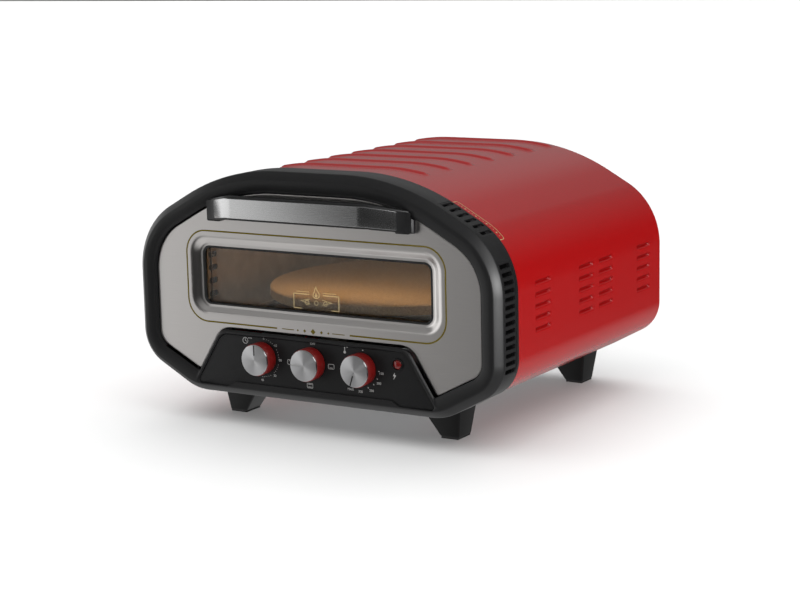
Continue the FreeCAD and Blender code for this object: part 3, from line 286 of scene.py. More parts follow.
# ---------------- surfaces
# spread: how far the colour varies; grain: its scale per metre, as one number or one for each axis;
# relief: the grain's height in metres; unevenness: how far the roughness varies; sockets: the shader's own.
# A spun surface stretches its gloss in circles about the object's own axis.
DEFAULTS = dict(metal=0.0, relief=0.00003, unevenness=0.06, sockets={}, spun=False)
SURFACES = {
    "red_paint": dict(colour=(0.5, 0.003, 0.004), rough=0.2, spread=0.04, grain=900, relief=0.00001,
        unevenness=0.04),
    "black_plastic": dict(colour=(0.006, 0.006, 0.0062), rough=0.38, spread=0.12, grain=2600,
        sockets={"Specular IOR Level": 0.22}),
    "panel_plastic": dict(colour=(0.011, 0.011, 0.0115), rough=0.5, spread=0.12, grain=3000,
        sockets={"Specular IOR Level": 0.2}),
    "black_paint": dict(colour=(0.016, 0.016, 0.016), rough=0.5, spread=0.1, grain=1800, unevenness=0.08),
    "dark_steel": dict(colour=(0.05, 0.05, 0.052), rough=0.5, metal=0.6, spread=0.12, grain=1500,
        relief=0.00002, unevenness=0.08),
    "galvanised": dict(colour=(0.5, 0.51, 0.53), rough=0.42, metal=1.0, spread=0.16, grain=160,
        relief=0.00002, unevenness=0.12),
    "brushed_steel": dict(colour=(0.56, 0.54, 0.525), rough=0.3, metal=1.0, spread=0.035,
        grain=(40, 3000, 3000), relief=0.000008, unevenness=0.05, sockets={"Anisotropic": 0.35}),
    "handle_metal": dict(colour=(0.47, 0.47, 0.47), rough=0.27, metal=1.0, spread=0.03,
        grain=(60, 3000, 3000), relief=0.000008, unevenness=0.05),
    "spun_aluminium": dict(colour=(0.5, 0.5, 0.505), rough=0.34, metal=1.0, spread=0.02, grain=2500,
        relief=0.000004, unevenness=0.04, sockets={"Anisotropic": 0.95, "Anisotropic Rotation": 0.25},
        spun=True),
    "bright_steel": dict(colour=(0.6, 0.6, 0.61), rough=0.28, metal=1.0, spread=0.05, grain=1200,
        relief=0.00001, unevenness=0.08),
    "chamber_steel": dict(colour=(0.44, 0.36, 0.26), rough=0.4, metal=0.85, spread=0.14, grain=60,
        relief=0.00002, unevenness=0.12),
    "knob_red": dict(colour=(0.2, 0.006, 0.005), rough=0.42, spread=0.06, grain=2200),
    "clear_glass": dict(colour=(0.9, 0.86, 0.8), rough=0.02, spread=0.01, grain=300, relief=0.000001,
        unevenness=0.01, sockets={"Transmission Weight": 1.0, "IOR": 1.3, "Specular IOR Level": 0.15}),
    "lamp_red": dict(colour=(0.17, 0.004, 0.003), rough=0.22, spread=0.05, grain=1500, relief=0.00002,
        unevenness=0.04, sockets={"Coat Weight": 0.25, "Subsurface Weight": 0.2}),
    "lamp_holder": dict(colour=(0.62, 0.6, 0.55), rough=0.5, spread=0.06, grain=900),
    "seal_rubber": dict(colour=(0.012, 0.012, 0.012), rough=0.62, spread=0.15, grain=2000, relief=0.00005,
        unevenness=0.08),
    "seal_fabric": dict(colour=(0.2, 0.19, 0.17), rough=0.9, spread=0.3, grain=1400, relief=0.0003,
        unevenness=0.05),
    "insulation": dict(colour=(0.62, 0.55, 0.36), rough=0.95, spread=0.25, grain=260, relief=0.0008,
        unevenness=0.04),
    "element_sheath": dict(colour=(0.2, 0.17, 0.15), rough=0.55, metal=0.7, spread=0.2, grain=700,
        unevenness=0.1),
    "ceramic_white": dict(colour=(0.76, 0.74, 0.69), rough=0.35, spread=0.04, grain=500, relief=0.00002),
    "stone": dict(colour=(0.5, 0.38, 0.24), rough=0.88, spread=0.22, grain=420, relief=0.0003),
    "wire_sleeve": dict(colour=(0.62, 0.6, 0.52), rough=0.7, spread=0.1, grain=1600, relief=0.0001),
    "pale_print": dict(colour=(0.48, 0.48, 0.47), rough=0.6, spread=0.06, grain=2600, relief=0.00001,
        unevenness=0.05),
    "gold_print": dict(colour=(0.14, 0.105, 0.006), rough=0.5, spread=0.1, grain=2600, relief=0.00001,
        sockets={"Specular IOR Level": 0.15}),
    "cream_print": dict(colour=(0.66, 0.5, 0.24), rough=0.5, metal=0.1, spread=0.06, grain=2600,
        relief=0.00001, unevenness=0.05),
    "floor": dict(colour=(0.3, 0.3, 0.3), rough=0.55, spread=0.01, grain=6, relief=0.00001, unevenness=0.02),
}
made = {}


def surface(name):
    """The material of that name, made once from its row in SURFACES."""
    if name in made:
        return made[name]
    spec = {**DEFAULTS, **SURFACES[name]}
    grain = spec["grain"]
    material = bpy.data.materials.new(name)
    material.use_nodes = True
    tree = material.node_tree
    shader = tree.nodes["Principled BSDF"]
    shader.inputs["Metallic"].default_value = spec["metal"]
    for socket, number in spec["sockets"].items():
        shader.inputs[socket].default_value = number
    place = tree.nodes.new("ShaderNodeTexCoord")
    scale = tree.nodes.new("ShaderNodeMapping")
    scale.inputs["Scale"].default_value = grain if isinstance(grain, tuple) else (grain, grain, grain)
    noise = tree.nodes.new("ShaderNodeTexNoise")
    noise.inputs["Scale"].default_value = 1.0
    noise.inputs["Detail"].default_value = 4.0
    tree.links.new(place.outputs["Object"], scale.inputs["Vector"])
    tree.links.new(scale.outputs["Vector"], noise.inputs["Vector"])
    ramp = tree.nodes.new("ShaderNodeValToRGB")
    for stop, sign, spot in ((ramp.color_ramp.elements[0], -1, 0.3), (ramp.color_ramp.elements[1], 1, 0.7)):
        stop.position = spot
        stop.color = [min(1.0, c * (1 + sign * spec["spread"])) for c in spec["colour"]] + [1.0]
    tree.links.new(noise.outputs["Fac"], ramp.inputs["Fac"])
    tree.links.new(ramp.outputs["Color"], shader.inputs["Base Color"])
    gloss = tree.nodes.new("ShaderNodeMapRange")
    gloss.inputs["To Min"].default_value = max(0.0, spec["rough"] - spec["unevenness"])
    gloss.inputs["To Max"].default_value = spec["rough"] + spec["unevenness"]
    tree.links.new(noise.outputs["Fac"], gloss.inputs["Value"])
    tree.links.new(gloss.outputs["Result"], shader.inputs["Roughness"])
    bump = tree.nodes.new("ShaderNodeBump")
    bump.inputs["Distance"].default_value = spec["relief"]
    tree.links.new(noise.outputs["Fac"], bump.inputs["Height"])
    tree.links.new(bump.outputs["Normal"], shader.inputs["Normal"])
    if spec["spun"]:
        tangent = tree.nodes.new("ShaderNodeTangent")
        tangent.direction_type = "RADIAL"
        tangent.axis = "Y"
        tree.links.new(tangent.outputs["Tangent"], shader.inputs["Tangent"])
    made[name] = material
    return material


def dress_cad_nodes():
    """Gives every carried-over CAD node the finish that its slot names."""
    slots = {entry["node"]: entry["material_slot"] for entry in frame["record"]["subparts"]}
    for name, obj in frame["nodes"].items():
        obj.data.materials.clear()
        obj.data.materials.append(surface(slots[name]))


# ---------------- bezel
def rounded_bar(across, along, radius):
    """A small rectangle with round corners, centred on (0, 0)."""
    return upright(across / 2, along / 2, -along / 2, radius, 4)


def make_bezel():
    bevel = [(BEZEL_BEVEL + 1.6, BEZEL_FRONT), (BEZEL_BEVEL + 0.5, BEZEL_FRONT + 0.2),
             (BEZEL_BEVEL - 0.5, BEZEL_FRONT + 0.9), (0.9, BEZEL_FRONT + BEZEL_BEVEL - 0.6),
             (0.25, BEZEL_FRONT + BEZEL_BEVEL + 0.4), (0, BEZEL_FRONT + BEZEL_BEVEL + 1.6)]
    rim = [(0, BEZEL_BACK - 0.9), (0.25, BEZEL_BACK - 0.25), (0.9, BEZEL_BACK)]
    bezel = lofted("front_bezel_moulding", [(outline(inset), y) for inset, y in bevel + rim])
    hollow = [(9.5, BEZEL_FRONT + 2.6), (9.5, 4), (2.5, 4.5), (2.5, BEZEL_BACK + 5)]
    carve(bezel, lofted("hollow", [(outline(inset), y) for inset, y in hollow]))
    lip = [(13, -2.2, -6.6), (13, -2.2, -6.05), (16, -1.7, -5.75), (19.5, -1.0, -5.2), (22, -0.4, -4.5),
           (22.9, -0.1, -3.9), (RING_WIDTH - DOOR_GAP, 0, -3), (RING_WIDTH - DOOR_GAP, 0, 20)]
    carve(bezel, lofted("door_hole", [(door_outline(inset, gap), y) for inset, gap, y in lip]))
    inner = [(PANEL_RIM - 1.0, -6.6), (PANEL_RIM - 1.0, -6), (PANEL_RIM - 0.3, -5.7), (PANEL_RIM, -5),
             (PANEL_RIM, 20)]
    carve(bezel, lofted("panel_hole", [(panel_outline(inset), y) for inset, y in inner]))
    carve(bezel, make_vent_recesses())
    carve(bezel, make_vent_cutters())
    carve(bezel, make_return_wall(), "UNION")
    finish_piece(bezel, "housing", "black_plastic", ["front_bezel"])


def make_return_wall():
    """The wall behind the door's gap, from the left hinge over the top to the right hinge."""
    loop = door_outline(RING_WIDTH - DOOR_GAP - 0.6, -0.6)
    start = max(i for i, point in enumerate(loop) if point[0] < 0 and point[1] < HINGE_CLEAR) + 1
    loop = loop[start:] + loop[:start]
    end = next(i for i, point in enumerate(loop) if point[1] < HINGE_CLEAR)
    bm = bmesh.new()
    stroke(bm, loop[:end], 1.2, -4, 8)
    return object_from(bm, "return_wall")


def surface_spot(inset, x=None, z=None):
    """The point and outward direction of the right-hand outline at a height z, or on the shoulder at x."""
    points = [Vector(p) for p in outline(inset) if p[0] > 0]
    for first, second in zip(points, points[1:]):
        low, high, aim = (first.y, second.y, z) if z is not None else (first.x, second.x, x)
        on_side = z is not None or first.y > HEIGHT / 2
        if on_side and min(low, high) <= aim <= max(low, high) and low != high:
            share = (aim - low) / (high - low)
            along = (second - first).normalized()
            return first.lerp(second, share), Vector((-along.y, along.x))
    raise ValueError("no such place on the outline")


def vent_places():
    """Where the bezel's slots are on the right-hand side: point and outward direction."""
    side = [surface_spot(0, z=VENT_TOP - k * VENT_PITCH) for k in range(VENTS)]
    shoulder = []
    for k in range(SHOULDER_VENTS):
        offset = (k - (SHOULDER_VENTS - 1) / 2) * SHOULDER_PITCH * math.cos(SHOULDER_ANGLE)
        shoulder.append(surface_spot(0, x=SHOULDER_VENT_X + offset))
    return side, shoulder


def add_slot_cutter(bm, spot, out, sign, middle, reach):
    """A rounded bar through the surface at spot, long in y, wide along the outline."""
    away = Vector((out.x * sign, out.y))
    base = Vector((spot.x * sign, spot.y))
    across = Vector((-away.y, away.x))
    rings = []
    for depth in reach:
        ring = []
        for a, b in rounded_bar(VENT_HEIGHT, VENT_LENGTH, 1.2):
            place = base + away * depth + across * a
            ring.append(bm.verts.new(row(place.x, middle + b, place.y)))
        rings.append(ring)
    tube(bm, rings)


def make_vent_cutters():
    bm = bmesh.new()
    side, shoulder = vent_places()
    for sign in (-1, 1):
        for spot, _ in side:
            add_slot_cutter(bm, spot, Vector((1, 0)), sign, VENT_Y, (-9, 9))
        for spot, out in shoulder:
            add_slot_cutter(bm, spot, out, sign, SHOULDER_VENT_Y, (-9, 4))
    return object_from(bm, "vents")


def make_vent_recesses():
    """The shallow fields that the slots stand in."""
    bm = bmesh.new()
    side, shoulder = vent_places()
    depth, margin, clear, half = 0.45, 4.6, 4, VENT_LENGTH / 2 + 2.2
    for places, middle in ((side, VENT_Y), (shoulder, SHOULDER_VENT_Y)):
        spots, outs = zip(*places)
        first = spots[0] + (spots[0] - spots[1]).normalized() * margin
        last = spots[-1] + (spots[-1] - spots[-2]).normalized() * margin
        line = list(zip((first, *spots, last), (outs[0], *outs, outs[-1])))
        inside = [spot - out * depth for spot, out in line]
        outside = [spot + out * clear for spot, out in reversed(line)]
        for sign in (-1, 1):
            field = [(spot.x * sign, spot.y) for spot in inside + outside]
            loft(bm, [(field, middle - half), (field, middle + half)])
    return object_from(bm, "vent_fields")


# ---------------- casing
def casing_line():
    """The casing's section from the lower right lip, over the top, to the lower left lip.

    Gives a list of (distance, point, outward direction).
    """
    corners = [corner[:3] + (corner[3] * 3,) for corner in outline_corners(CASING_INSET)]
    points = [Vector(p) for p in rounded(corners)]
    start = next(i for i, p in enumerate(points) if p.x < 0 and points[i - 1].x > 0 and p.y < HEIGHT / 2)
    order = points[start:] + points[:start]
    low = order[0].y
    order = [Vector((-LIP_HALF, low))] + order + [Vector((LIP_HALF, low))]
    order.reverse()
    line = []
    travelled = 0.0
    for i, spot in enumerate(order):
        before, after = order[max(i - 1, 0)], order[min(i + 1, len(order) - 1)]
        along = (after - before).normalized()
        if i:
            travelled += (spot - order[i - 1]).length
        line.append((travelled, spot, Vector((along.y, -along.x))))
    return line


def at_distance(line, distance):
    for first, second in zip(line, line[1:]):
        if first[0] <= distance <= second[0] and second[0] > first[0]:
            share = (distance - first[0]) / (second[0] - first[0])
            return first[1].lerp(second[1], share), first[2].lerp(second[2], share).normalized()
    return line[-1][1], line[-1][2]


def smooth(low, high, number):
    share = min(1.0, max(0.0, (number - low) / (high - low)))
    return share * share * (3 - 2 * share)


def louvre_push(below, y):
    """How far the sheet is pressed in at a distance below a louvre's top edge."""
    if not 0 < below < LOUVRE_FALL:
        return 0.0
    reach = min(abs(y - centre) for centre in LOUVRE_CENTRES)
    ends = 1 - smooth(LOUVRE_LENGTH / 2 - 1.6, LOUVRE_LENGTH / 2, reach)
    return ends * LOUVRE_DEPTH * (1 - smooth(0.35 * LOUVRE_FALL, LOUVRE_FALL, below))


def bead_rise(x, y):
    k = min(BEADS - 1, max(0, round((y - BEAD_FIRST) / BEAD_PITCH)))
    offset = (y - BEAD_FIRST - k * BEAD_PITCH) / (BEAD_WIDTH / 2)
    if abs(offset) >= 1:
        return 0.0
    ends = 1 - smooth(BEAD_HALF - 5, BEAD_HALF + 1, abs(x))
    return ends * BEAD_HEIGHT * math.cos(offset * RIGHT_ANGLE) ** 1.4


def louvre_tops(side):
    """How far along the section each row of louvres has its top edge."""
    tops = []
    for height in LOUVRE_ROWS:
        for first, second in zip(side, side[1:]):
            if first[1].y <= height < second[1].y and first[1].x > HALF_WIDTH / 2:
                share = (height - first[1].y) / (second[1].y - first[1].y)
                tops.append(first[0] + share * (second[0] - first[0]))
    return tops


def casing_distances(side, total, tops):
    """Where along the section the sheet has its points, closest together at the louvres."""
    steps = {distance for distance, _, _ in side[::2]} | {0.0}
    steps |= {total / 2 - k * 7 for k in range(1, 22)}
    for top in tops:
        steps = {s for s in steps if not top - LOUVRE_FALL - 1 < s < top + 1}
        steps |= {top - fall for fall in LOUVRE_BENDS}
    half_line = sorted(s for s in steps if s < total / 2 - 1)
    return half_line + [total / 2] + [total - s for s in reversed(half_line)]


def casing_depths():
    """Where from front to back the sheet has its points, closest at the beads and the louvres' ends."""
    depths = {CASING_FRONT + k * 12 for k in range(30)} | {CASING_BACK}
    for k in range(BEADS):
        middle = BEAD_FIRST + k * BEAD_PITCH
        depths = {y for y in depths if abs(y - middle) > BEAD_WIDTH / 2 + 0.5}
        depths |= {middle + BEAD_WIDTH / 2 * j / 5 for j in range(-5, 6)}
    for centre in LOUVRE_CENTRES:
        for sign in (-1, 1):
            edge = centre + sign * LOUVRE_LENGTH / 2
            depths |= {edge + sign * 0.6, edge, edge - sign * 0.6, edge - sign * 1.2, edge - sign * 1.8}
    ordered = sorted(depths)
    return [ordered[0]] + [b for a, b in zip(ordered, ordered[1:]) if b - a > 0.2]


def make_casing():
    line = casing_line()
    total = line[-1][0]
    side = [entry for entry in line if entry[0] < total / 2]
    tops = louvre_tops(side)
    depths = casing_depths()
    bm = bmesh.new()
    grid = []
    for s in casing_distances(side, total, tops):
        spot, out = at_distance(line, s)
        near_side = min(s, total - s)
        below = min((top - near_side for top in tops if top - near_side > -0.01), default=LOUVRE_FALL)
        column = []
        for y in depths:
            place = spot + out * (bead_rise(spot.x, y) - louvre_push(below, y))
            column.append(bm.verts.new(row(place.x, y, place.y)))
        grid.append((near_side, column))
    for (s0, first), (s1, second) in zip(grid, grid[1:]):
        middle = (s0 + s1) / 2
        open_row = any(-0.01 < top - middle < 0.1 for top in tops)
        for k in range(len(depths) - 1):
            y = (depths[k] + depths[k + 1]) / 2
            in_louvre = min(abs(y - centre) for centre in LOUVRE_CENTRES) < LOUVRE_LENGTH / 2 - 1.7
            if not (open_row and in_louvre):
                bm.faces.new((first[k], first[k + 1], second[k + 1], second[k]))
    casing = object_from(bm, "outer_casing_sheet")
    modify(casing, "SOLIDIFY", thickness=CASING_SHEET * MM, offset=-1)
    finish_piece(casing, "housing", "red_paint", ["outer_casing"], edge=50)


def make_shoulder_label():
    """A thin framed row of dots printed on the casing's right shoulder, just behind the bezel."""
    line = casing_line()
    marks = [s for s, spot, _ in line if LABEL_X[0] < spot.x < LABEL_X[1] and spot.y > HEIGHT / 2]
    first, last = min(marks), max(marks)
    front, back, corner = CASING_FRONT + 0.6, LABEL_BACK, 3
    path = [(first, front)]
    path += [(first + corner * (1 - math.cos(a)), back - corner * (1 - math.sin(a)))
             for a in (k * RIGHT_ANGLE / 5 for k in range(6))]
    path += [(first + corner + (last - first - 2 * corner) * k / 24, back) for k in range(1, 24)]
    path += [(last - corner * (1 - math.sin(a)), back - corner * (1 - math.cos(a)))
             for a in (k * RIGHT_ANGLE / 5 for k in range(6))]
    path += [(last, front)]
    bm = bmesh.new()

    def place(s, y, lift):
        spot, out = at_distance(line, s)
        spot = spot + out * lift
        return bm.verts.new(row(spot.x, y, spot.y))

    rings = []
    for i, (s, y) in enumerate(path):
        before, after = Vector(path[max(i - 1, 0)]), Vector(path[min(i + 1, len(path) - 1)])
        along = (after - before).normalized()
        side = Vector((-along.y, along.x)) * 0.4
        edges = [(s + side.x, y + side.y), (s - side.x, y - side.y)]
        top, bottom = (-level for level in FACE_PRINT)
        rings.append([place(*edge, top) for edge in edges] + [place(*edge, bottom) for edge in edges[::-1]])
    tube(bm, rings)
    dots = 13
    for k in range(1, dots + 1):
        s, y = first + (last - first) * k / (dots + 1), (front + back) / 2 + 0.5
        size = 1.3 if k % 3 == 2 else 0.7
        diamond = ((size, 0), (0, size), (-size, 0), (0, -size))
        tube(bm, [[place(s + a, y + b, -level) for a, b in diamond] for level in FACE_PRINT])
    finish_piece(object_from(bm, "shoulder_label_print"), "housing", "gold_print", look="cream_print")


# ---------------- door
def recess_ring(share):
    """A ring round the window: 0 is the window's edge and 1 the recess's."""
    half, top, low, radius = between(WINDOW, RECESS, share)
    return upright(half, top, low, radius)


def make_door_skin():
    bm = bmesh.new()
    edge = [(24.0, 9), (24.0, 1.6), (24.15, 0.8), (24.6, 0.2), (25.4, 0), (26.2, 0), (27, 0)]
    rims = [(door_outline(inset, DOOR_GAP + inset - RING_WIDTH), y) for inset, y in edge]
    outer = loft(bm, rims, closed=False)
    walls = [(1.3, 0), (1.22, 0), (1.14, 0), (1.08, 0.05), (1.0, 0.2), (0.92, 0.47), (0.84, 0.87),
             (0.77, 1.35), (0.46, 3.9), (0.4, 4.35), (0.32, 4.75), (0.22, 4.95), (0.12, RECESS_DEPTH),
             (0.03, RECESS_DEPTH + 0.1), (0.0, RECESS_DEPTH + 0.4), (0.0, RECESS_DEPTH + 1)]
    inner = loft(bm, [(recess_ring(share), y) for share, y in walls], closed=False)
    border = []
    for ring in (outer[-1], inner[0]):
        border += [bm.edges.get((ring[i], ring[(i + 1) % len(ring)])) for i in range(len(ring))]
    bmesh.ops.triangle_fill(bm, edges=border, use_beauty=True)
    skin = object_from(bm, "door_face_sheet")
    modify(skin, "SOLIDIFY", thickness=DOOR_SHEET * MM, offset=-1)
    finish_piece(skin, "door", "brushed_steel", ["door_skin"], edge=40)


def make_gold_line():
    """The thin line round the window, open at the bottom for an ornament."""
    half, top, low, radius, gap = 168, 218.5, 115.4, 26, 47.5
    loop = upright(half, top, low, radius, 12)
    start = next(i for i, p in enumerate(loop) if p[0] < 0 and p[1] < low + 1)
    points = [(-gap, low)] + loop[start:] + loop[:start] + [(gap, low)]
    bm = bmesh.new()
    stroke(bm, points, 1.8, *FACE_PRINT)
    for x, size in ((0, 3.2), (-11, 1.9), (11, 1.9), (-20, 1.4), (20, 1.4)):
        slab(bm, [(x - size, low), (x, low + size), (x + size, low), (x, low - size)], *FACE_PRINT)
    for sign in (-1, 1):
        stroke(bm, [(sign * 25, low), (sign * 41, low)], 0.9, *FACE_PRINT)
    finish_piece(object_from(bm, "door_line_print"), "door", "gold_print")


def make_badge():
    """A plain framed flame printed on the glass."""
    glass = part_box("door_outer_glass")[0].y / MM - DOOR_FACE
    front, back = glass - 0.08, glass - 0.01
    half, top, low = 29.4, 154.8, 138.8
    bm = bmesh.new()
    for sign in (-1, 1):
        stroke(bm, [(sign * 9, top), (sign * half, top), (sign * half, low), (sign * (half - 10), low)], 1.0,
               front, back)
        stroke(bm, [(sign * 9, top + 2.6), (sign * (half - 3.5), top + 2.6)], 0.7, front, back)
        stroke(bm, [(sign * 8, low + 5.2), (sign * 20, low + 8.4), (sign * 8, low + 11)], 0.7, front, back)
    flame = [(0, 12.3), (1.5, 8.6), (4.2, 5.4), (4.0, 1.8), (1.8, 0), (-1.8, 0), (-4.0, 1.8), (-3.6, 4.6),
             (-2.2, 6.6), (-1.5, 9.2)]
    stroke(bm, [(x, z + top - 3.6) for x, z in flame], 0.9, front, back, closed=True)
    slab(bm, [(x * 0.4, z * 0.4 + top - 2.6) for x, z in flame], front, back)
    for x in (-12, 0, 12):
        stroke(bm, disc(x, low + 7, 2.4, 16), 0.7, front, back, closed=True)
    finish_piece(object_from(bm, "glass_badge_print"), "door", "gold_print", look="cream_print")


def make_gasket():
    """The black rubber round the window, with a soft lip over the steel's edge."""
    levels = [(0.12, 5.9), (0.1, 5.1), (0.04, 4.6), (-0.04, 4.5), (-0.1, 4.9), (-0.13, 5.9), (-0.13, 7.6),
              (0.55, 7.6), (0.55, 6.6), (0.12, 6.6)]
    bm = bmesh.new()
    rings = [add_ring(bm, recess_ring(share), y) for share, y in levels]
    for before, after in zip(rings, rings[1:] + rings[:1]):
        bridge(bm, before, after)
    finish_piece(object_from(bm, "window_gasket_ring"), "door", "seal_rubber", ["window_gasket"], edge=60)


def make_vent_strips():
    """The slotted strips beside the window, with black sheets behind their slots as painted shade seen
    through them.
    """
    low, high = (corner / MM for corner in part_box("door_vent_strips"))
    back, outer = high.y - DOOR_FACE, high.x
    strips, slot_shade = bmesh.new(), bmesh.new()
    # the black sheets just behind the slots are painted shade: they darken what shows through the slots
    strip_x, slot_shade_x, slot_shade_trim = (outer - STRIP_SHEET, outer), (outer + 0.05, outer + 0.35), 2
    bars = [(strips, strip_x, 0, ends) for ends in ((10.2, 16.8), (20.1, back))]
    bars += [(slot_shade, slot_shade_x, slot_shade_trim, ends) for ends in ((11.5, 16.6), (20.3, 21), (22.2, back - 1))]
    for sign in (-1, 1):
        for bm, (x_in, x_out), trim, (front, rear) in bars:
            section = [(sign * x, y) for x, y in ((x_in, front), (x_in, rear), (x_out, rear), (x_out, front))]
            levels = (low.z + trim, high.z - trim)
            tube(bm, [[bm.verts.new(row(x, y, z)) for x, y in section] for z in levels])
    sheet = object_from(strips, "door_vent_strip_pair")
    cutters = bmesh.new()
    beyond = 300
    for k in range(STRIP_SLOTS):
        middle = STRIP_SLOT_LOW + k * STRIP_SLOT_PITCH
        ring = [(STRIP_SLOT_Y + a, middle + b) for b, a in rounded_bar(7, 17, 3.2)]
        tube(cutters, [[cutters.verts.new(row(x, y, z)) for y, z in ring] for x in (-beyond, beyond)])
    carve(sheet, object_from(cutters, "strip_slots"))
    finish_piece(sheet, "door", "chamber_steel", ["door_vent_strips"])
    # black sheets behind the slots, as painted shade
    finish_piece(object_from(slot_shade, "door_vent_slot_shade"), "door", "black_paint")


# ---------------- handle
def grip_stations(lift):
    """Where the bar bends: x, the depth of its front, its lower and upper edge, each a smooth bend."""
    bend = 9
    stations = []
    for x in (-GRIP_END, -112, -GRIP_HALF - bend, -GRIP_HALF - bend / 2, -GRIP_HALF, -GRIP_HALF + bend / 2,
              -GRIP_HALF + bend):
        outward = max(0.0, -x - GRIP_HALF)
        share = outward / (GRIP_END - GRIP_HALF)
        soften = max(0.0, 1 - abs(-x - GRIP_HALF) / bend) ** 2 * bend * 0.17
        front = GRIP_FRONT + lift + outward * 0.66 + soften
        low = GRIP_MIDDLE[0] + (GRIP_TIP[0] - GRIP_MIDDLE[0]) * share
        high = GRIP_MIDDLE[1] + (GRIP_TIP[1] - GRIP_MIDDLE[1]) * share
        stations.append((x, front, low, high))
    return stations + [(-x, front, low, high) for x, front, low, high in reversed(stations)]


def sweep_grip(name, lift, thickness, margin, round_over, end):
    """A bar along the stations whose section is a rounded rectangle."""
    bm = bmesh.new()
    rings = []
    for x, front, low, high in grip_stations(lift):
        x = max(-end, min(end, x))
        back = min(front + thickness, -0.4)
        corner = min(round_over, (back - front) * 0.4)
        half, half_height = (back - front) / 2, (high - low) / 2 - margin
        section = upright(half, half_height, -half_height, corner, 4)
        rings.append([bm.verts.new(row(x, (front + back) / 2 + a, (low + high) / 2 + b)) for a, b in section])
    tube(bm, rings)
    return object_from(bm, name)


def make_handle():
    bar = sweep_grip("door_handle_bar", 1.2, GRIP_THICK, 0, 1.6, GRIP_END)
    foot_x, foot_z, far_x, far_z = 122, 243, 300, 400
    for sign in (-1, 1):
        foot = [(a + sign * foot_x, b + foot_z) for a, b in rounded_bar(18, 23, 2)]
        carve(bar, lofted("foot", [(foot, -9), (foot, -0.2)]), "UNION")
    wide = [(-far_x, far_z), (far_x, far_z), (far_x, 0), (-far_x, 0)]
    keep_out = lofted("ring", [(wide, BEZEL_FRONT - 0.3), (wide, 30)])
    opening = door_outline(RING_WIDTH + 0.4, DOOR_GAP + 0.4)
    carve(keep_out, lofted("inside", [(opening, BEZEL_FRONT - 9), (opening, 60)]))
    carve(bar, keep_out)
    modify(bar, "BEVEL", width=0.5 * MM, segments=2, limit_method="ANGLE", angle_limit=math.radians(50))
    finish_piece(bar, "door", "black_plastic", ["handle_body"], edge=45)
    band = sweep_grip("door_handle_band", 0, 1.5, 2.3, 0.45, GRIP_END - 5)
    finish_piece(band, "door", "handle_metal", ["handle_trim"], edge=40)


# ---------------- control panel
def make_panel():
    gap = PANEL_RIM + 0.35
    levels = [(gap + 1.2, PANEL_FACE), (gap + 0.4, PANEL_FACE + 0.15), (gap, PANEL_FACE + 0.7),
              (gap, PANEL_FACE + 2.5)]
    panel = lofted("control_panel_plate", [(panel_outline(inset), y) for inset, y in levels])
    bm = bmesh.new()
    for name in KNOBS:
        x, z = knob_centre(name)
        slab(bm, disc(x, z, 4, 24), PANEL_FACE - 2, PANEL_FACE + 6)
    x, z = lamp_centre()
    slab(bm, disc(x, z, 6.2, 32), PANEL_FACE - 2, PANEL_FACE + 6)
    carve(panel, object_from(bm, "holes"))
    finish_piece(panel, "housing", "black_plastic", ["control_panel"], look="panel_plastic")


def centre_of(node):
    low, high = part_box(node)
    middle = (low + high) / 2 / MM
    return middle.x, middle.z


def knob_centre(name):
    return centre_of(f"{name}_knob")


def lamp_centre():
    return centre_of("indicator_bezel")


def turned(points, centre, degrees):
    """The points turned clockwise about a centre."""
    angle = math.radians(-degrees)
    turn = Matrix.Rotation(angle, 2)
    result = []
    for x, z in points:
        spot = turn @ Vector((x, z))
        result.append((spot.x + centre[0], spot.y + centre[1]))
    return result


def lathe(bm, centre, profile, steps=64):
    """Turns (radius, y) points about the knob's axis; a radius of 0 closes the shape."""
    rings = []
    for radius, y in profile:
        if radius == 0:
            rings.append([bm.verts.new(row(centre[0], y, centre[1]))])
        else:
            rings.append([bm.verts.new(row(x, y, z)) for x, z in disc(centre[0], centre[1], radius, steps)])
    for first, second in zip(rings, rings[1:]):
        if len(first) == 1 or len(second) == 1:
            tip, ring = (first[0], second) if len(first) == 1 else (second[0], first)
            for i in range(steps):
                bm.faces.new((tip, ring[i], ring[(i + 1) % steps]))
        else:
            bridge(bm, first, second)


def recentre(obj, centre, y):
    """Puts the object's own origin on the knob's axis, so that its grain turns about it."""
    origin = row(centre[0], y, centre[1])
    obj.data.transform(Matrix.Translation(-origin))
    obj.location = origin


def make_knob(name, pointer):
    centre = knob_centre(name)
    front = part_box(f"{name}_knob")[0].y / MM - DOOR_FACE
    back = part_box(f"{name}_knob")[1].y / MM - DOOR_FACE
    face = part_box(f"{name}_cap")[0].y / MM - DOOR_FACE
    body = f"{name}_knob_body"
    bm = bmesh.new()
    skirt = [(0, front), (17.0, front), (17.6, front + 0.2), (18.0, front + 0.8), (18.0, back - 0.8),
             (17.7, back - 0.2), (17.1, back), (15.6, back), (15.6, front + 3), (0, front + 3)]
    lathe(bm, centre, skirt)
    finish_piece(object_from(bm, f"{name}_knob_skirt"), body, "knob_red", [f"{name}_knob"], edge=50)
    bm = bmesh.new()
    lid = [(0, face), (16.2, face), (16.9, face + 0.15), (17.25, face + 0.6), (17.3, front), (0, front)]
    lathe(bm, centre, lid)
    cap = object_from(bm, f"{name}_cap_disc")
    bm = bmesh.new()
    groove = turned(upright(0.75, 16.9, 5, 0.4, 2), centre, pointer)
    slab(bm, groove, face - 2, face + 0.7)
    carve(cap, object_from(bm, "groove"))
    recentre(cap, centre, face)
    finish_piece(cap, body, "spun_aluminium", [f"{name}_cap"], edge=30)
    bm = bmesh.new()
    fill = turned(upright(0.6, 16.6, 5.3, 0.3, 2), centre, pointer)
    slab(bm, fill, face + 0.55, face + 0.8)
    look = "pale_print" if name == "selector" else "black_plastic"
    finish_piece(object_from(bm, f"{name}_pointer_fill"), body, "black_plastic", look=look)


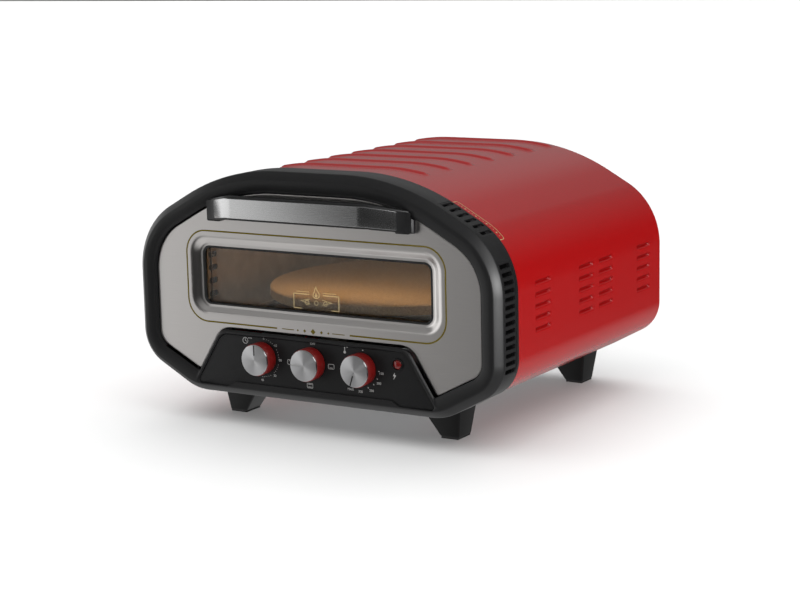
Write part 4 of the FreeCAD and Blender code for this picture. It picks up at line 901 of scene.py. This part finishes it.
def lettering(bm, text, x, z, size):
    """Generic dial numbers, standing just proud of the panel."""
    curve = bpy.data.curves.new("figures", "FONT")
    curve.body = text
    curve.size = size * MM
    curve.extrude = 0.03 * MM
    curve.align_x = "CENTER"
    curve.align_y = "CENTER"
    obj = bpy.data.objects.new("figures", curve)
    bpy.context.scene.collection.objects.link(obj)
    view = bpy.context.evaluated_depsgraph_get()
    mesh = bpy.data.meshes.new_from_object(obj.evaluated_get(view))
    mesh.transform(Matrix.Translation(row(x, PANEL_FACE - 0.03, z)) @ Matrix.Rotation(RIGHT_ANGLE, 4, "X"))
    bm.from_mesh(mesh)
    bpy.data.objects.remove(obj)


def make_dial_print():
    front, back = (PANEL_FACE + level for level in FACE_PRINT)
    bm = bmesh.new()
    for text, x, z in (("0", -63, 103), ("10", -47.5, 96.5), ("20", -41.5, 80.5), ("30", -49.5, 62.5),
                       ("40", -66.5, 56), ("OFF", 2, 103), ("150", 89.5, 78.5), ("200", 86, 67.5),
                       ("250", 76.5, 58.5), ("300", 62.5, 56), ("MAX", 50, 57.5)):
        lettering(bm, text, x, z, 3.8)
    x, z = knob_centre("timer")
    for k in range(25):
        angle = math.radians(82 - k * 7.6)
        if k % 6:
            slab(bm, disc(x + 21.6 * math.cos(angle), z + 21.6 * math.sin(angle), 0.38, 8), front, back)
    stroke(bm, disc(-88, 99, 3.4, 24), 0.6, front, back, closed=True)
    stroke(bm, [(-88, 101.4), (-88, 99), (-86, 98)], 0.6, front, back)
    for k in range(3):
        stroke(bm, [(-83.6 + k * 1.7, 102.2), (-82.7 + k * 1.7, 102.2)], 1.2, front, back)
    for x, z, low, high in ((25.5, 80, 1, 0), (-3, 56, 1, 1), (-28, 80, 0, 1)):
        stroke(bm, [(x + a, z + b) for a, b in rounded_bar(7.4, 5.2, 1.1)], 0.5, front, back, closed=True)
        for wanted, rise in ((low, -1.4), (high, 1.4)):
            if wanted:
                stroke(bm, [(x - 2.2, z + rise), (x + 2.2, z + rise)], 0.5, front, back)
    stroke(bm, [(43.5, 103.5), (43.5, 98.5)], 1.0, front, back)
    slab(bm, disc(43.5, 97.8, 1.6), front, back)
    stroke(bm, [(46, 103.5), (47.6, 103.5)], 0.7, front, back)
    slab(bm, disc(66.5, 102, 0.8, 12), front, back)
    x, z = knob_centre("thermostat")
    for degrees in (92, 116, 138, 160):
        angle = math.radians(90 - degrees)
        ends = [(x + r * math.cos(angle), z + r * math.sin(angle)) for r in (20.6, 22.2)]
        stroke(bm, ends, 0.7, front, back)
    bolt = [(106.4, 81.5), (103.9, 77.4), (105.9, 77.6), (104.4, 73.2), (108, 78.6), (106, 78.3)]
    slab(bm, bolt, front, back)
    finish_piece(object_from(bm, "dial_print"), "housing", "pale_print")


def make_indicator():
    x, z = lamp_centre()
    bm = bmesh.new()
    collar = [(5.3, 4), (5.3, -0.6), (5.7, -1.3), (6.4, -1.5), (7.0, -1.1), (7.2, -0.4), (7.2, 0), (6.1, 0),
              (6.1, 4), (5.3, 4)]
    lathe(bm, (x, z), [(radius, PANEL_FACE + y) for radius, y in collar], 40)
    bmesh.ops.remove_doubles(bm, verts=bm.verts, dist=1e-6)
    surround = object_from(bm, "indicator_surround")
    finish_piece(surround, "housing", "black_plastic", ["indicator_bezel"], edge=50)
    bm = bmesh.new()
    dome = [(0, PANEL_FACE - 2.6)]
    for k in range(1, 7):
        angle = math.radians(15 * k)
        dome.append((5.2 * math.sin(angle), PANEL_FACE + 0.4 - 3.0 * math.cos(angle)))
    lathe(bm, (x, z), dome + [(5.2, PANEL_FACE + 3), (0, PANEL_FACE + 3)], 40)
    finish_piece(object_from(bm, "indicator_dome"), "housing", "lamp_red", ["indicator_lens"], edge=50)


# ---------------- feet
def make_feet():
    for end in ("front", "rear"):
        for side in ("left", "right"):
            node = f"foot_{end}_{side}"
            low, high = (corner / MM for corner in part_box(node))
            sign = 1 if side == "right" else -1
            middle = (low.y + high.y) / 2 - DOOR_FACE
            bm = bmesh.new()
            rings = []
            for z, share in ((high.z, 0), (low.z + 1.2, 0.965), (low.z + 0.3, 0.99), (low.z, 1.03)):
                inner, outer, half = (top + taper * share for top, taper in zip(FOOT_TOP, FOOT_TAPER))
                ring = []
                for a, b in upright((outer - inner) / 2, half, -half, 2.2, 5):
                    ring.append(bm.verts.new(row(sign * (inner + outer) / 2 + a, middle + b, z)))
                rings.append(ring)
            tube(bm, rings)
            finish_piece(object_from(bm, f"{node}_block"), "housing", "black_plastic", [node], edge=40)


# ---------------- stage, lights and camera
def area_light(name, spot, aim, size, power, colour=(1, 1, 1)):
    data = bpy.data.lights.new(name, "AREA")
    data.energy = power
    data.color = colour
    data.shape = "RECTANGLE"
    data.size, data.size_y = size
    obj = bpy.data.objects.new(name, data)
    obj.location = spot
    obj.rotation_euler = (Vector(aim) - Vector(spot)).to_track_quat("-Z", "Y").to_euler()
    bpy.context.scene.collection.objects.link(obj)
    return obj


def smooth_step(tree, value, low, high):
    """A node that rises smoothly from 0 at low to 1 at high."""
    step = tree.nodes.new("ShaderNodeMapRange")
    step.interpolation_type = "SMOOTHSTEP"
    step.inputs["From Min"].default_value = low
    step.inputs["From Max"].default_value = high
    tree.links.new(value, step.inputs["Value"])
    return step.outputs["Result"]


def combine(tree, operation, first, second):
    node = tree.nodes.new("ShaderNodeMath")
    node.operation = operation
    for socket, value in zip(node.inputs, (first, second)):
        if isinstance(value, (int, float)):
            socket.default_value = value
        else:
            tree.links.new(value, socket)
    return node.outputs["Value"]


def make_world():
    """Soft surroundings: light above, a bright card at the left, a pale ground, dark between."""
    world = bpy.data.worlds.new("studio")
    world.use_nodes = True
    tree = world.node_tree
    way = tree.nodes.new("ShaderNodeTexCoord")
    axes = tree.nodes.new("ShaderNodeSeparateXYZ")
    tree.links.new(way.outputs["Generated"], axes.inputs["Vector"])
    x, y, z = axes.outputs["X"], axes.outputs["Y"], axes.outputs["Z"]

    def times(first, second):
        return combine(tree, "MULTIPLY", first, second)

    def step(value, low, high):
        return smooth_step(tree, value, low, high)

    left = combine(tree, "ARCTAN2", times(x, -1), times(y, -1))
    above = times(step(z, 0.0, 0.95), SKY_LIGHT)
    back_wall = times(step(z, -0.05, 0.12), step(y, 0.3, 0.8))
    back_wall = times(back_wall, step(x, 0.0, -0.3))
    back_wall = times(back_wall, BACK_WALL_LIGHT)
    far_ground = times(step(z, -0.12, -0.42), step(y, -0.1, 0.5))
    near_ground = times(step(z, -0.35, -0.75), NEAR_GROUND_LIGHT)
    ground = combine(tree, "MAXIMUM", times(far_ground, FAR_GROUND_LIGHT), near_ground)
    card = times(step(left, math.radians(32), math.radians(42)),
                 step(left, math.radians(150), math.radians(100)))
    card = times(card, step(z, 0.5, 0.3))
    card = times(card, step(z, -0.8, -0.15))
    total = combine(tree, "ADD", above, ground)
    total = combine(tree, "ADD", total, combine(tree, "ADD", back_wall, BASE_LIGHT))
    total = combine(tree, "MAXIMUM", total, times(card, CARD_LIGHT))
    tree.links.new(total, tree.nodes["Background"].inputs["Strength"])
    tree.nodes["Background"].inputs["Color"].default_value = (1, 1, 1, 1)
    bpy.context.scene.world = world


def make_stage():
    """The floor, the world and the lights. The suns light the floor alone, and edge_light two pieces."""
    bm = bmesh.new()
    corners = ((-1, -1), (1, -1), (1, 1), (-1, 1))
    bm.faces.new([bm.verts.new((x * FLOOR_REACH, y * FLOOR_REACH, 0)) for x, y in corners])
    floor = object_from(bm, "floor")
    floor.data.materials.append(surface("floor"))
    floor.visible_glossy = False
    make_world()
    bpy.context.scene.view_settings.view_transform = "Standard"
    lit_floor = bpy.data.collections.new("lit_by_floor_lights")
    lit_floor.objects.link(floor)
    for name, energy, angle, shadow in FLOOR_SUNS:
        sun = bpy.data.lights.new(name, "SUN")
        sun.energy = energy
        sun.angle = math.radians(angle)
        sun.use_shadow = shadow
        light = bpy.data.objects.new(name, sun)
        bpy.context.scene.collection.objects.link(light)
        light.light_linking.receiver_collection = lit_floor
    area_light("key_light", (1.8, -0.8, 1.38), (0.1, 0.1, 0.15), (1.1, 1.1), 18)
    edge_light = area_light("edge_light", (2.1, -1.2, 0.3), (0.2, 0, 0.15), (0.5, 0.8), 90)
    lit_edge = bpy.data.collections.new("lit_by_edge_light")
    for name in ("front_bezel_moulding", "door_handle_bar"):
        lit_edge.objects.link(bpy.data.objects[name])
    edge_light.light_linking.receiver_collection = lit_edge
    area_light("oven_light", row(0, 60, 208), row(0, 230, 140), (0.26, 0.02), 0.14, (1.0, 0.7, 0.4))


def make_camera():
    azimuth, elevation, roll = (math.radians(angle) for angle in CAMERA_ANGLES)
    back = Vector((math.sin(azimuth) * math.cos(elevation), -math.cos(azimuth) * math.cos(elevation),
                   math.sin(elevation)))
    right = (-back).cross(Vector((0, 0, 1))).normalized()
    up = right.cross(-back)
    data = bpy.data.cameras.new("camera")
    data.lens = CAMERA_LENS
    data.sensor_width = 36
    camera = bpy.data.objects.new("camera", data)
    turned_right = right * math.cos(roll) + up * math.sin(roll)
    turned_up = up * math.cos(roll) - right * math.sin(roll)
    basis = Matrix((turned_right, turned_up, back)).transposed().to_4x4()
    camera.matrix_world = Matrix.Translation(CAMERA_SPOT) @ basis
    bpy.context.scene.collection.objects.link(camera)
    bpy.context.scene.camera = camera


# ---------------- build
dress_cad_nodes()
make_bezel()
make_casing()
make_shoulder_label()
make_door_skin()
make_gold_line()
make_badge()
make_gasket()
make_vent_strips()
make_handle()
make_panel()
make_dial_print()
make_indicator()
for knob, pointing in KNOBS.items():
    make_knob(knob, pointing)
make_feet()
make_stage()
make_camera()
